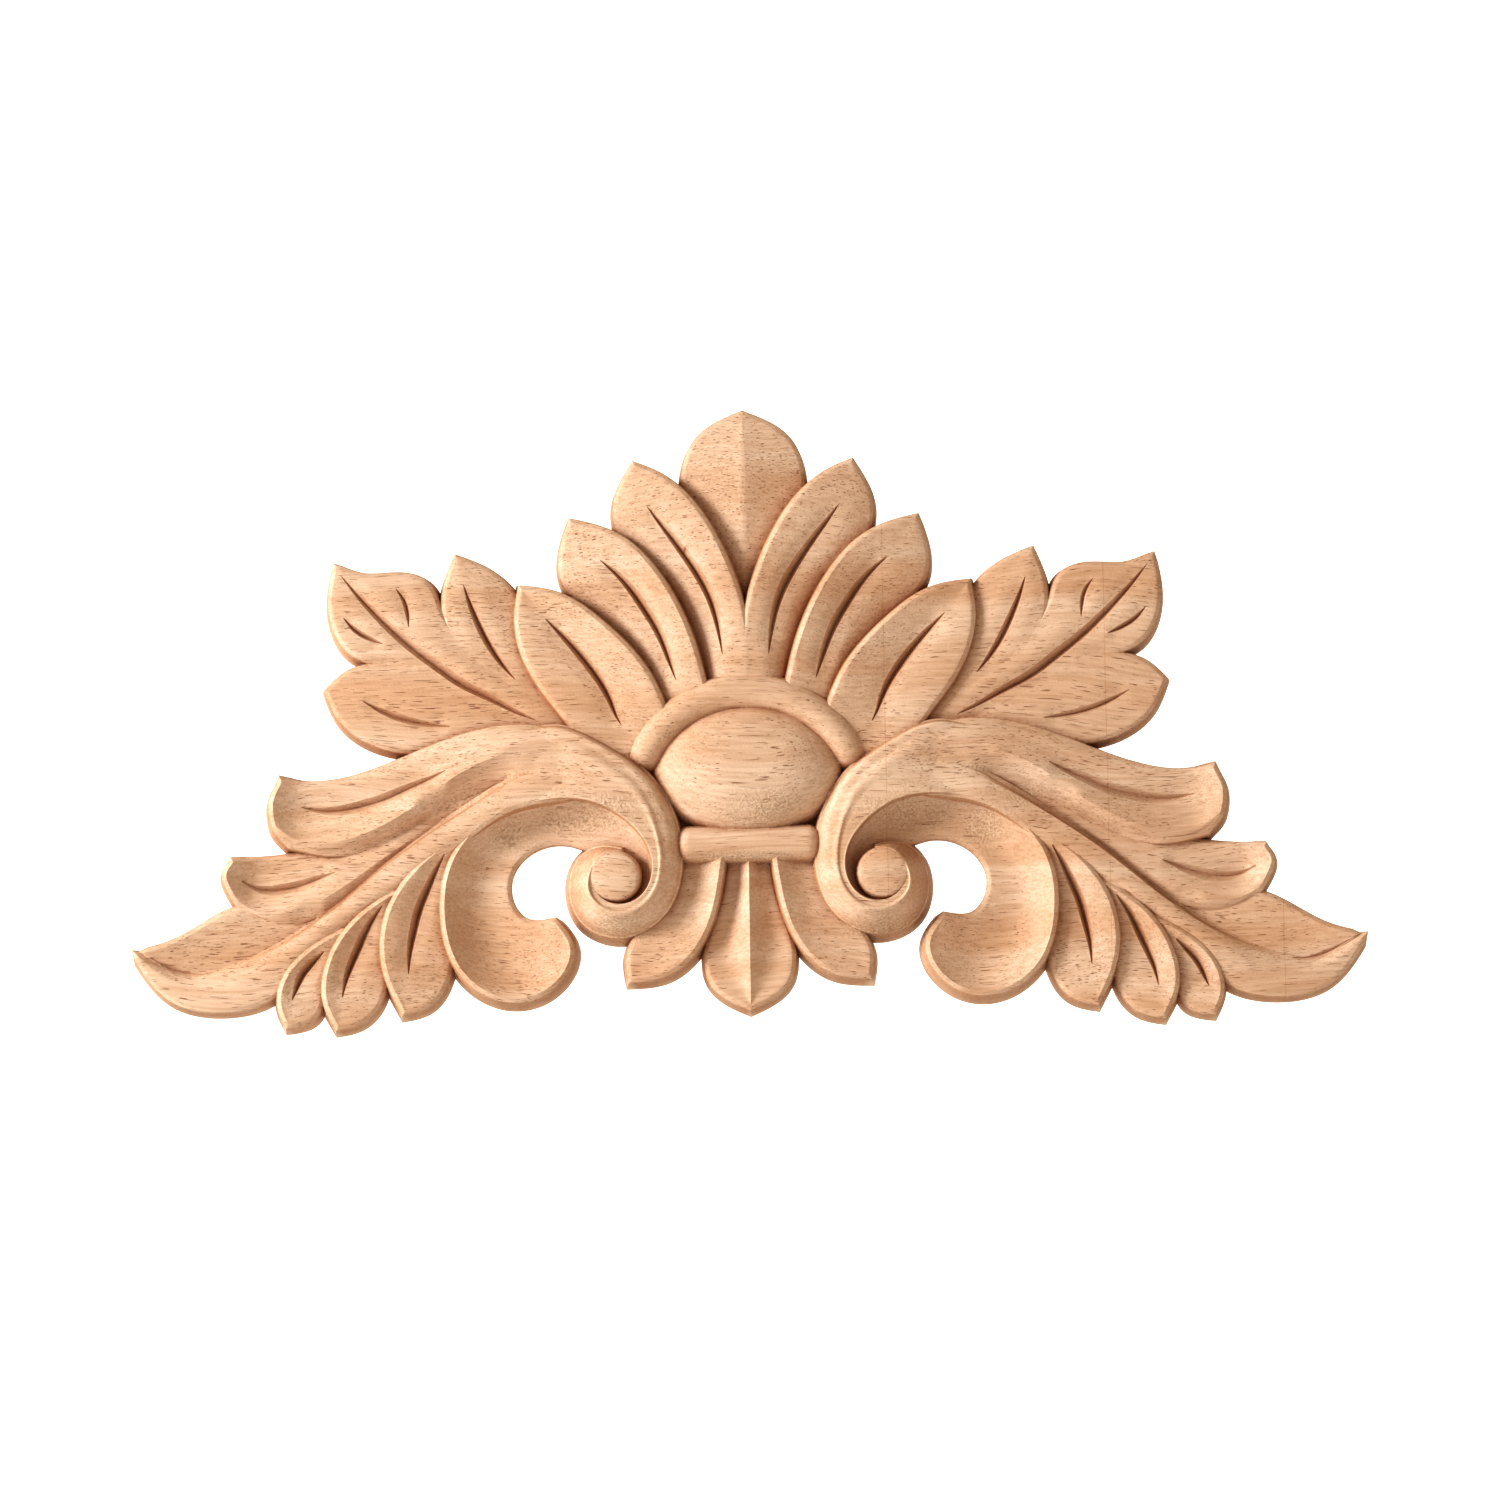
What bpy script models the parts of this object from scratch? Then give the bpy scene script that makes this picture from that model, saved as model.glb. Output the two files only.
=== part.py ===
# Carved wood applique: a low pediment of leaves over two acanthus scrolls, cut from one board.
#
# Frame: X runs across the piece, Z is up, and the carved face looks along -Y. The flat back lies
# on y = 0, with the origin on it behind the boss. Sizes are in millimetres, and a point of the
# pattern is (x, z, height above the back).

import math

import bmesh
import bpy
import numpy as np

MM = 0.001

# The sides of every form lean out towards the back, so that the outline at the back is a little
# larger than the carved face.
WALL_LEAN = math.tan(math.radians(13))
SHARPEST_MITRE = 1.7
BELOW_BACK = 1.0  # how far each form runs past the back before that is sawn flat
HAIR = 0.001 * MM  # points this near the middle lie on it
WELD = 0.05 * MM  # points this near each other are one

STEPS_ALONG = 12

VEIN_WIDTH = 1.7
VEIN_DEPTH = 1.2

BEAD_BEVEL = 3  # a bead has twice this and two more sides
LEAST_FULLNESS = 0.15  # how much of a bead's radius is left at its very end

BOSS_CENTRE = (0.0, 1.8)
BOSS_REACH = (24.0, 17.2)
BOSS_FOOT = 3.0
BOSS_TOP = 15.6
BOSS_FLATNESS = 2.7
BOSS_SEGMENTS = (32, 12)

RING_CENTRE = (0.0, -7.2)
RING_OUTSIDE = 32.2
RING_BEAD = (5.0, 4.1)
RING_CREST = 13.8
RING_ENDS_DROP = 3.4
RING_HALF_ANGLE = math.radians(73)
RING_STATIONS = 19
RING_ROUND_END = 0.05

BAR_CENTRE = (0.0, -16.6)
BAR_HALF_LENGTH = 18.0
BAR_BEAD = 4.6
BAR_CREST = 12.6
BAR_STATIONS = 13
BAR_ROUND_END = 0.1

EYE_CENTRE = (-32.9, -24.7)
EYE_FACE = 5.5
EYE_FOOT = 7.2
EYE_TOP = 13.4
EYE_SIDES = 22

GROUND_CENTRE = (0.0, -3.0)
GROUND_REACH = 30.0
GROUND_TOP = 6.0
GROUND_SIDES = 16

SAW_BLOCK = (0.4, 0.02, 0.3)

# Forms of the left half. Each runs from its root towards its tip along a few lines that lie side
# by side, and its surface is stretched over them. swell is how far the strip between two lines
# bulges. vein says which line a groove is cut along, and between which shares of its length.
# walls says how much of the full lean the sides by the first and the last line get, and both_halves
# adds the lines' mirror images, for a leaf that lies on the middle.
FORMS = {
    "crown_leaf": {
        "lines": [
            [(-3, 24, 6), (-9, 52, 5.5), (-14.2, 71.5, 6.7), (-10.8, 82.6, 7.1)],
            [(0, 24, 7), (0, 50, 7.4), (0, 66, 9.4)],
        ],
        "tip": (0, 88.9, 7.6),
        "swell": (0,),
        "both_halves": True,
    },
    "fan_leaf_1": {
        "lines": [
            [(-9, 19, 9.5), (-12, 35, 8), (-20.5, 48, 7.3), (-29.6, 59.5, 7.5), (-30.6, 67.2, 8)],
            [(-5, 19, 11.2), (-6.9, 38, 11.2), (-13.6, 55, 10.6), (-22.5, 67, 9.7)],
            [(0.4, 19, 11.8), (-0.8, 39.5, 12.2), (-6, 55, 12), (-15, 69.2, 10.7), (-21, 74, 9.5)],
        ],
        "tip": (-26.4, 76.5, 8.5),
        "swell": (0.7, 0),
        "vein": (1, 0.2, 0.88),
    },
    "fan_leaf_2": {
        "lines": [
            [(-21, 16, 9.5), (-25, 28, 8.4), (-34.5, 40.3, 7.7), (-43.2, 48, 7.7), (-43.9, 55.3, 8.1)],
            [(-15, 16, 11.2), (-19, 32, 11.2), (-26, 45, 10.6), (-34.8, 54.3, 9.8)],
            [(-9.8, 18.5, 12), (-13.2, 32, 12.5), (-20.7, 48, 12.1), (-31.5, 59, 10.5)],
        ],
        "tip": (-41.8, 62.6, 8.6),
        "swell": (0.7, 0),
        "vein": (1, 0.2, 0.84),
    },
    "fan_leaf_3": {
        "lines": [
            [(-38, 6, 10.6), (-42.6, 13.5, 10.3), (-51.3, 26, 10), (-54.9, 39, 9.7)],
            [(-28, 6, 11.6), (-33.6, 21.5, 11.3), (-42.1, 34, 10.9), (-48.3, 40, 10.3)],
            [(-18.8, 12.2, 12.3), (-24.3, 25, 12.6), (-35, 37.2, 12), (-46, 44.6, 10.6)],
        ],
        "tip": (-54.1, 46.3, 9.3),
        "swell": (0.8, 0),
        "vein": (1, 0.2, 0.84),
    },
    "side_leaf_upper": {
        "lines": [
            [(-60, 16, 8.4), (-71.3, 35, 8.8), (-72.6, 45.5, 8.6)],
            [(-48, 14, 8.6), (-61.2, 33, 9.3), (-68.3, 48.5, 8.8)],
            [(-40, 12, 7.4), (-52, 37, 7.4), (-60, 49.1, 7.8)],
        ],
        "tip": (-69.8, 54.2, 8.2),
        "swell": (0, 0),
        "vein": (1, 0.25, 0.85),
    },
    "side_leaf_tip": {
        "lines": [
            [(-42, 4, 8.2), (-74, 21, 8.8), (-88, 29.6, 9), (-95.4, 32, 8.9), (-100.2, 42.3, 8.6)],
            [(-41, 10, 8.8), (-62, 21.3, 9.4), (-81, 34, 9.4), (-93, 45.3, 9)],
            [(-39, 16, 8.2), (-64, 30, 8.8), (-74.6, 41.5, 8.7), (-77.2, 47.6, 8.5), (-84, 50.2, 8.5),
             (-92, 50, 8.5)],
        ],
        "tip": (-99.2, 52.4, 8.2),
        "swell": (0, 0),
        "vein": (1, 0.1, 0.97),
    },
    "side_leaf_lower": {
        "lines": [
            [(-50, 5, 7.6), (-72, 7.2, 7.9), (-88.6, 9.2, 8.1), (-98, 15.6, 8.2)],
            [(-50, 11, 8.4), (-72, 14.5, 8.7), (-87, 18, 8.6)],
            [(-55, 19, 8), (-72, 25.6, 8.2), (-88, 28.2, 8.3), (-97, 26, 8.1)],
        ],
        "tip": (-101.2, 22.2, 8),
        "swell": (0, 0),
        "vein": (1, 0.42, 0.85),
    },
    "scroll_lobe_1": {
        "lines": [
            [(-36, 7, 11), (-52, 11.8, 11.4), (-72, 8.9, 10.6), (-92, 1.4, 9.5), (-104, -0.9, 9.4),
             (-112.6, 0, 10.8)],
            [(-36, 4, 12.6), (-52, 7, 13.2), (-73, 2.6, 11.8), (-92, -4.6, 9.9), (-104, -6.2, 9),
             (-114.7, -5.2, 11)],
            [(-36, 1, 12.6), (-52, 3.6, 13.2), (-72, -2.6, 12), (-88, -10.8, 10.7), (-102, -13.2, 9.5),
             (-113.6, -10.4, 10.7)],
            [(-36, -2, 12.4), (-52, 0.4, 12.6), (-73, -6.6, 10.5), (-88, -14, 10), (-101, -16.2, 9.7),
             (-110.8, -13.6, 10)],
        ],
        "swell": (0.5, 0, 0),
        "vein": (1, 0.5, 0.92),
        "steps": 13,
    },
    "scroll_lobe_2": {
        "lines": [
            [(-50, 2, 11), (-60, 2.6, 10.6), (-80, -8, 9.4), (-98, -15.4, 8.1), (-113, -18.4, 8.2),
             (-124.5, -19.2, 9.8)],
            [(-52, 0.5, 11), (-62, -0.7, 10.4), (-82, -12.3, 8.9), (-100, -21.4, 7.8), (-114, -24.6, 7.6),
             (-126.2, -22.8, 9.8)],
            [(-56, -1.5, 10.2), (-66, -6, 8.6), (-84, -18.6, 6.9), (-100, -30.2, 6.3), (-113, -33, 7.2),
             (-123.4, -28.8, 8.8)],
        ],
        "swell": (0, 0),
        "vein": (1, 0.65, 0.96),
        "steps": 12,
    },
    "scroll_tip_upper": {
        "lines": [
            [(-100, -23, 7), (-112, -27.6, 7.4), (-126.5, -31.8, 8), (-134, -36, 8.1), (-141, -39.4, 8.2)],
            [(-101, -31, 6.2), (-112, -38, 6.5), (-126, -44.4, 6.8), (-138, -45.4, 7.3)],
        ],
        "tip": (-146.9, -40.7, 8.4),
        "swell": (0,),
    },
    "scroll_rib": {
        "lines": [
            [(-44, 2, 13), (-54, 0.4, 11.6), (-62, -3, 8.6), (-72, -9, 6.6), (-90, -22.5, 5.6),
             (-106, -34.1, 5.5), (-124, -43.6, 6.6), (-138, -45.4, 7.3)],
            [(-44, -3, 13.3), (-57, -5.2, 13), (-70, -12.8, 11.6), (-89, -26.6, 9.9), (-107, -38.8, 9),
             (-124, -48.5, 8.5), (-137, -49, 8.4)],
            [(-44, -4.6, 13.3), (-58, -7.4, 12.8), (-69, -14.8, 11), (-87, -29.4, 8.6), (-106, -42.2, 8),
             (-116, -51.6, 8), (-127, -54.4, 8), (-139.6, -51.6, 8.1)],
        ],
        "tip": (-146.9, -40.9, 8.4),
        "swell": (0, 0),
        "steps": 16,
    },
    "scroll_leaf_1": {
        "lines": [
            [(-97, -36, 9), (-106, -41.2, 9.4), (-112, -48, 9.1), (-113.1, -54.3, 8.7)],
            [(-99, -39, 8.7), (-106.5, -44.3, 8.6), (-110.5, -51.8, 8.2)],
            [(-97, -43, 8), (-102.7, -49.2, 7.3), (-106, -56.9, 7.5)],
        ],
        "tip": (-111.5, -58.5, 8.2),
        "swell": (0, 0),
        "vein": (1, 0.05, 0.75),
    },
    "scroll_leaf_2": {
        "lines": [
            [(-82, -25.5, 9.6), (-94, -33.4, 10), (-101, -43.5, 9.8), (-102, -53.4, 9.2)],
            [(-84, -28, 9), (-94.7, -38.3, 8.8), (-98.6, -51, 8.4)],
            [(-82, -33, 8), (-87.5, -42.8, 7.3), (-90, -53.2, 7.3), (-94.4, -57.9, 7.9)],
        ],
        "tip": (-99.4, -59.2, 8.4),
        "swell": (0, 0),
        "vein": (1, 0.1, 0.8),
    },
    "scroll_leaf_3": {
        "lines": [
            [(-68, -12.5, 10.6), (-80.5, -22.5, 10.8), (-87, -33, 10.5), (-87.4, -46.3, 9.8)],
            [(-70.2, -16.5, 9.8), (-79.5, -28.6, 9.2), (-82.5, -43.5, 8.9)],
            [(-71.4, -20, 8.8), (-72.4, -34, 7.6), (-73.4, -47.2, 7.5), (-78.2, -54.2, 8.2)],
        ],
        "tip": (-83.4, -55.7, 8.7),
        "swell": (0, 0),
        "vein": (1, 0.1, 0.8),
    },
    "scroll_curl": {
        "lines": [
            [(-37.6, -28, 13), (-31, -31, 13.2), (-24.3, -27, 13.4), (-23.6, -19, 13.4),
             (-30, -9.8, 13), (-41, -5, 12.6), (-54, -5.8, 11.8), (-65, -11.6, 11.2), (-71.8, -21, 10.9),
             (-73.4, -34, 10.8), (-69.4, -46.4, 10.3), (-58.5, -53.2, 10), (-47.6, -50, 10),
             (-43.4, -41.4, 9.8)],
            [(-36.8, -27.6, 12.4), (-31, -29.8, 11), (-26, -25.5, 9.6), (-27, -18.5, 8.4),
             (-33.5, -12.5, 7.4), (-43, -9.6, 7), (-55, -12, 6.8), (-64, -20.3, 6.8), (-66.6, -30, 6.6),
             (-63, -42, 6.3), (-54, -46.2, 6.9), (-47.6, -40.8, 8.5)],
            [(-36, -27, 12.4), (-31.5, -28.6, 11), (-28, -24.5, 9.6), (-30.4, -20.4, 8.4),
             (-37, -17.2, 7), (-44, -14.9, 6.5), (-52.2, -16.4, 6.4), (-57.7, -22.2, 6.4),
             (-58, -30, 6.5), (-54, -34.8, 7.1)],
        ],
        "tip": (-47.2, -34.9, 8.9),
        "swell": (-0.9, 0),
        "walls": (1.0, 0.45),
        "steps": 36,
    },
    "scroll_band": {
        "lines": [
            [(-57, 11.6, 10.6), (-46, 12.6, 9.8), (-34, 7.8, 9.2), (-23.9, 0.4, 8.8), (-17.6, -10.5, 8.5),
             (-16.4, -22, 8.5), (-20.4, -33, 8.3), (-30.5, -38.5, 7.4), (-40.6, -34.6, 6.6),
             (-43, -25.5, 6.4), (-39.6, -18.8, 6.6)],
            [(-57, 8.6, 12.2), (-46, 9.4, 13.1), (-35, 4.6, 13.5), (-26.2, -3, 13.7), (-21.4, -14, 13.8),
             (-21.2, -26, 13.7), (-26.3, -32.9, 13.6), (-34.2, -33.6, 13.4), (-39.1, -28.5, 13.3),
             (-36.4, -20.4, 13.3)],
            [(-46, 1.5, 13.3), (-35, -0.8, 13.8), (-26.4, -8, 13.9), (-22.2, -18, 13.9),
             (-23.4, -27.5, 13.8), (-29, -32.2, 13.6), (-35.6, -31, 13.4), (-38.3, -27, 13.3), (-35.5, -21.6, 13.3)],
            [(-57, -7.2, 12.4), (-47, -5.2, 13.4), (-36, -6.6, 14), (-26.8, -13.2, 14), (-23.1, -21, 14),
             (-25.3, -28.7, 13.9), (-31.5, -31.4, 13.6), (-37.3, -28, 13.3), (-34.6, -22.8, 13.3)],
        ],
        "swell": (1.1, 0, 0),
        "walls": (1.0, 0.5),
        "steps": 30,
    },
    "foot_leaf_side": {
        "lines": [
            [(-16, -14, 7.6), (-19.5, -27, 7.4), (-25.6, -36.8, 7.8), (-28.8, -43.5, 8.4)],
            [(-11, -14, 8.3), (-14, -28.5, 8), (-20.8, -39.6, 8.3)],
            [(-6, -14, 11), (-7.9, -27.6, 10.8), (-12.1, -39.8, 10), (-20.6, -47.5, 9.2)],
        ],
        "tip": (-28.4, -48.7, 8.6),
        "swell": (0, 0),
    },
    "foot_leaf": {
        "lines": [
            [(-4.5, -14, 7.4), (-6.2, -29.6, 7.2), (-9.9, -42, 7.4), (-8.9, -49.6, 7.8)],
            [(-2.6, -14, 8.2), (-3.4, -29.6, 7.6), (-5, -44, 7.7)],
            [(0, -14, 10.4), (0, -32, 10.2), (0, -47, 9.6)],
        ],
        "tip": (0, -55.8, 8.1),
        "swell": (0, 0),
        "both_halves": True,
    },
}


def clear_scene():
    for existing in list(bpy.data.objects):
        bpy.data.objects.remove(existing)


def new_collection(name):
    made = bpy.data.collections.new(name)
    bpy.context.scene.collection.children.link(made)
    return made


def wood_material():
    made = bpy.data.materials.new("raw_rubberwood")
    made.use_nodes = True
    shader = made.node_tree.nodes["Principled BSDF"]
    shader.inputs["Base Color"].default_value = (0.80, 0.52, 0.33, 1.0)
    shader.inputs["Roughness"].default_value = 0.7
    shader.inputs["Metallic"].default_value = 0.0
    return made


def smooth_line(points, count):
    """count points, evenly spaced, on the natural cubic spline through the points."""
    knots = np.array(points, float)
    reach = np.linalg.norm(np.diff(knots[:, :2], axis=0), axis=1)
    along = np.concatenate([[0.0], np.cumsum(reach)])
    last = len(knots) - 1
    system = np.eye(last + 1)
    wanted = np.zeros_like(knots)
    for i in range(1, last):
        system[i, i - 1 : i + 2] = reach[i - 1], 2 * (reach[i - 1] + reach[i]), reach[i]
        wanted[i] = 6 * ((knots[i + 1] - knots[i]) / reach[i] - (knots[i] - knots[i - 1]) / reach[i - 1])
    bend = np.linalg.solve(system, wanted)
    at = np.linspace(0.0, along[-1], count)
    k = np.clip(np.searchsorted(along, at, side="right") - 1, 0, last - 1)
    step = reach[k][:, None]
    after = (at - along[k])[:, None]
    before = step - after
    curve = (bend[k] * before**3 + bend[k + 1] * after**3) / (6 * step)
    return curve + (knots[k] / step - bend[k] * step / 6) * before + (
        knots[k + 1] / step - bend[k + 1] * step / 6
    ) * after


def full_lines(form):
    """The form's lines, each run on to its tip, and mirrored where the leaf lies on the middle."""
    lines = [line + [form["tip"]] if "tip" in form else line for line in form["lines"]]
    swell = list(form["swell"])
    if form.get("both_halves"):
        lines += [[(-x, z, height) for x, z, height in line] for line in lines[-2::-1]]
        swell += swell[::-1]
    return lines, swell


def groove(line, neighbour, start, end):
    """The line as three rows, one each side of a V groove that fades out at start and end."""
    share = np.linspace(0.0, 1.0, len(line))
    along = np.clip((share - start) / (end - start), 0.0, 1.0)
    fullness = np.sqrt(np.sin(math.pi * along))[:, None]
    sideways = (neighbour - line)[:, :2]
    sideways /= np.maximum(np.linalg.norm(sideways, axis=1), 1.0)[:, None]
    near, bottom, far = line.copy(), line.copy(), line.copy()
    near[:, :2] += sideways * fullness * VEIN_WIDTH / 2
    far[:, :2] -= sideways * fullness * VEIN_WIDTH / 2
    bottom[:, 2:] -= fullness * VEIN_DEPTH
    return [near, bottom, far]


def stretched_over(lines, swell, steps, vein):
    """Rows of points over the lines, with more rows where a strip swells or a vein is cut."""
    smooth = [smooth_line(line, steps + 1) for line in lines]
    rows = [smooth[0]]
    for i, (left, right) in enumerate(zip(smooth, smooth[1:])):
        if swell[i]:
            middle = (left + right) / 2
            middle[:, 2] += swell[i] * np.linspace(1.0, 0.0, steps + 1) ** 0.5
            rows.append(middle)
        if vein and vein[0] == i + 1:
            rows += groove(right, left, vein[1], vein[2])
        else:
            rows.append(right)
    return np.array(rows)


def place(x, z, height):
    return x * MM, -height * MM, z * MM


def rim_of(sheet):
    """The sheet's border vertices, in order round it."""
    border = {e for e in sheet.edges if len(e.link_faces) == 1}
    first = next(iter(border)).verts[0]
    ring, came_by = [first], None
    while True:
        edge = next(e for e in ring[-1].link_edges if e in border and e is not came_by)
        came_by = edge
        following = edge.other_vert(ring[-1])
        if following is first:
            return ring
        ring.append(following)


def outward(ring):
    """For each vertex of the ring, the plan direction away from the form, longer at a sharp corner."""
    plan = np.array([(v.co.x, v.co.z) for v in ring])
    following = np.roll(plan, -1, axis=0)
    edge = following - plan
    edge /= np.linalg.norm(edge, axis=1)[:, None]
    doubled_area = np.sum(plan[:, 0] * following[:, 1] - following[:, 0] * plan[:, 1])
    side = math.copysign(1.0, doubled_area) * np.stack([edge[:, 1], -edge[:, 0]], axis=1)
    both = side + np.roll(side, 1, axis=0)
    both /= np.linalg.norm(both, axis=1)[:, None]
    lean = np.clip(np.sum(both * side, axis=1), 1 / SHARPEST_MITRE, 1.0)
    return both / lean[:, None]


def extrude_ring(sheet, ring, points):
    """A new ring of vertices at the points, joined to the old one by faces."""
    edges = [sheet.edges.get((a, b)) for a, b in zip(ring, ring[1:] + ring[:1])]
    made = bmesh.ops.extrude_edge_only(sheet, edges=edges)["geom"]
    fresh = {v for v in made if isinstance(v, bmesh.types.BMVert)}
    after = []
    for vertex, point in zip(ring, points):
        twin = next(e.other_vert(vertex) for e in vertex.link_edges if e.other_vert(vertex) in fresh)
        twin.co = point
        after.append(twin)
    return after


def add_sides(sheet, walls, lines):
    """Gives the sheet its leaning walls, and closes it below the back.

    walls says how much of the full lean the first and the last line's sides get.
    """
    ring = rim_of(sheet)
    first, last = np.array(lines[0])[:, :2] * MM, np.array(lines[-1])[:, :2] * MM
    foot = []
    for vertex, direction in zip(ring, outward(ring)):
        here = np.array([vertex.co.x, vertex.co.z])
        to_first = np.min(np.linalg.norm(first - here, axis=1))
        to_last = np.min(np.linalg.norm(last - here, axis=1))
        share = walls[0] if to_first < to_last else walls[1]
        height = -vertex.co.y / MM
        x, z = here / MM + direction * (height + BELOW_BACK) * WALL_LEAN * share
        foot.append(place(x, z, -BELOW_BACK))
    ring = extrude_ring(sheet, ring, foot)
    edges = [sheet.edges.get((a, b)) for a, b in zip(ring, ring[1:] + ring[:1])]
    bmesh.ops.contextual_create(sheet, geom=edges)


def object_from(bm, name, collection):
    bmesh.ops.recalc_face_normals(bm, faces=bm.faces)
    mesh = bpy.data.meshes.new(name)
    bm.to_mesh(mesh)
    bm.free()
    made = bpy.data.objects.new(name, mesh)
    collection.objects.link(made)
    return made


def carve_form(name, form, collection):
    """One leaf, lobe or band: a grid laid over the form's lines, with its sides added."""
    steps = form.get("steps", STEPS_ALONG)
    lines, swell = full_lines(form)
    rows = stretched_over(lines, swell, steps, form.get("vein"))
    sheet = bmesh.new()
    bmesh.ops.create_grid(sheet, x_segments=steps, y_segments=len(rows) - 1, size=0.5)
    for vertex in sheet.verts:
        column = round((vertex.co.x + 0.5) * steps)
        row = round((vertex.co.y + 0.5) * (len(rows) - 1))
        vertex.co = place(*rows[row, column])
    bmesh.ops.remove_doubles(sheet, verts=sheet.verts, dist=0.05 * MM)
    add_sides(sheet, form.get("walls", (1.0, 1.0)), lines)
    return object_from(sheet, name, collection)


def bead(name, points, radii, collection):
    """A half-sunk round bead along the points, as a capped tube made into a mesh."""
    curve = bpy.data.curves.new(name, "CURVE")
    curve.dimensions = "3D"
    curve.bevel_depth = MM
    curve.bevel_resolution = BEAD_BEVEL
    curve.use_fill_caps = True
    spline = curve.splines.new("POLY")
    spline.points.add(len(points) - 1)
    for knot, point, radius in zip(spline.points, points, radii):
        knot.co = (*place(*point), 1.0)
        knot.radius = radius
    source = bpy.data.objects.new(name + "_curve", curve)
    collection.objects.link(source)
    bpy.context.view_layer.update()
    graph = bpy.context.evaluated_depsgraph_get()
    mesh = bpy.data.meshes.new_from_object(source.evaluated_get(graph))
    bpy.data.objects.remove(source)
    tube = bmesh.new()
    tube.from_mesh(mesh)
    bpy.data.meshes.remove(mesh)
    bmesh.ops.remove_doubles(tube, verts=tube.verts, dist=0.01 * MM)
    return object_from(tube, name, collection)


def bead_stations(count, end):
    """Places along a bead from 0 to 1, closer at its round ends, with its share of full radius there."""
    stations = []
    for i in range(count):
        share = (1 - math.cos(math.pi * i / (count - 1))) / 2
        inside = min(share, 1 - share, end) / end
        stations.append((share, max(LEAST_FULLNESS, math.sqrt(1 - (1 - inside) ** 2))))
    return stations


def boss(collection):
    """The domed middle."""
    round_it, up_it = BOSS_SEGMENTS
    dome = bmesh.new()
    bmesh.ops.create_uvsphere(dome, u_segments=round_it, v_segments=up_it, radius=1.0)
    rise = BOSS_TOP - BOSS_FOOT
    for vertex in dome.verts:
        x = BOSS_CENTRE[0] + vertex.co.x * BOSS_REACH[0]
        z = BOSS_CENTRE[1] + vertex.co.y * BOSS_REACH[1]
        out = min(1.0, math.hypot(vertex.co.x, vertex.co.y))
        share = math.copysign((1 - out**BOSS_FLATNESS) ** (1 / BOSS_FLATNESS), vertex.co.z)
        vertex.co = place(x, z, BOSS_FOOT + share * rise)
    return object_from(dome, "boss", collection)


def ring(collection):
    """The bead arched over the boss."""
    points, radii = [], []
    for share, fullness in bead_stations(RING_STATIONS, RING_ROUND_END):
        angle = RING_HALF_ANGLE * (2 * share - 1)
        from_top = abs(2 * share - 1)
        bead_radius = RING_BEAD[0] + (RING_BEAD[1] - RING_BEAD[0]) * from_top**1.5
        x = RING_CENTRE[0] + (RING_OUTSIDE - bead_radius) * math.sin(angle)
        z = RING_CENTRE[1] + (RING_OUTSIDE - bead_radius) * math.cos(angle)
        points.append((x, z, RING_CREST - bead_radius - RING_ENDS_DROP * from_top**8))
        radii.append(bead_radius * fullness)
    return bead("ring", points, radii, collection)


def bar(collection):
    """The short bead under the boss."""
    points, radii = [], []
    for share, fullness in bead_stations(BAR_STATIONS, BAR_ROUND_END):
        x = BAR_CENTRE[0] + BAR_HALF_LENGTH * (2 * share - 1)
        points.append((x, BAR_CENTRE[1], BAR_CREST - BAR_BEAD))
        radii.append(BAR_BEAD * fullness)
    return bead("bar", points, radii, collection)


def round_block(name, centre, face, foot, top, sides, collection):
    """A low cone frustum standing on the back."""
    bm = bmesh.new()
    depth = top + BELOW_BACK
    bmesh.ops.create_cone(bm, cap_ends=True, segments=sides, radius1=foot, radius2=face, depth=depth)
    for vertex in bm.verts:
        x, z = centre[0] + vertex.co.x, centre[1] + vertex.co.y
        vertex.co = place(x, z, vertex.co.z + depth / 2 - BELOW_BACK)
    return object_from(bm, name, collection)


def back_block(collection):
    """A block that stands behind the back plane, to saw the forms flat."""
    block = bmesh.new()
    bmesh.ops.create_cube(block, size=1.0)
    bmesh.ops.scale(block, vec=SAW_BLOCK, verts=block.verts)
    bmesh.ops.translate(block, vec=(0, SAW_BLOCK[1] / 2, 0), verts=block.verts)
    return object_from(block, "back_block", collection)


def add_boolean(target, operation, other):
    cut = target.modifiers.new(other.name, "BOOLEAN")
    cut.operation = operation
    cut.object = other
    cut.solver = "EXACT"


def joined(forms, collection):
    """All forms as one solid, sawn flat along the back."""
    first, *others = forms
    for other in others:
        add_boolean(first, "UNION", other)
    add_boolean(first, "DIFFERENCE", back_block(collection))
    bpy.context.view_layer.update()
    graph = bpy.context.evaluated_depsgraph_get()
    return bpy.data.meshes.new_from_object(first.evaluated_get(graph))


def open_half(mesh):
    """Keeps the half with x below 0, open along the middle."""
    half = bmesh.new()
    half.from_mesh(mesh)
    everything = half.verts[:] + half.edges[:] + half.faces[:]
    middle = bmesh.ops.bisect_plane(
        half, geom=everything, dist=HAIR, plane_co=(0, 0, 0), plane_no=(1, 0, 0), clear_outer=True
    )["geom_cut"]
    for vertex in (g for g in middle if isinstance(g, bmesh.types.BMVert)):
        vertex.co.x = 0.0
    bmesh.ops.remove_doubles(half, verts=half.verts, dist=WELD)
    bmesh.ops.dissolve_degenerate(half, dist=WELD, edges=half.edges)
    bmesh.ops.triangulate(half, faces=half.faces)
    half.to_mesh(mesh)
    half.free()


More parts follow.
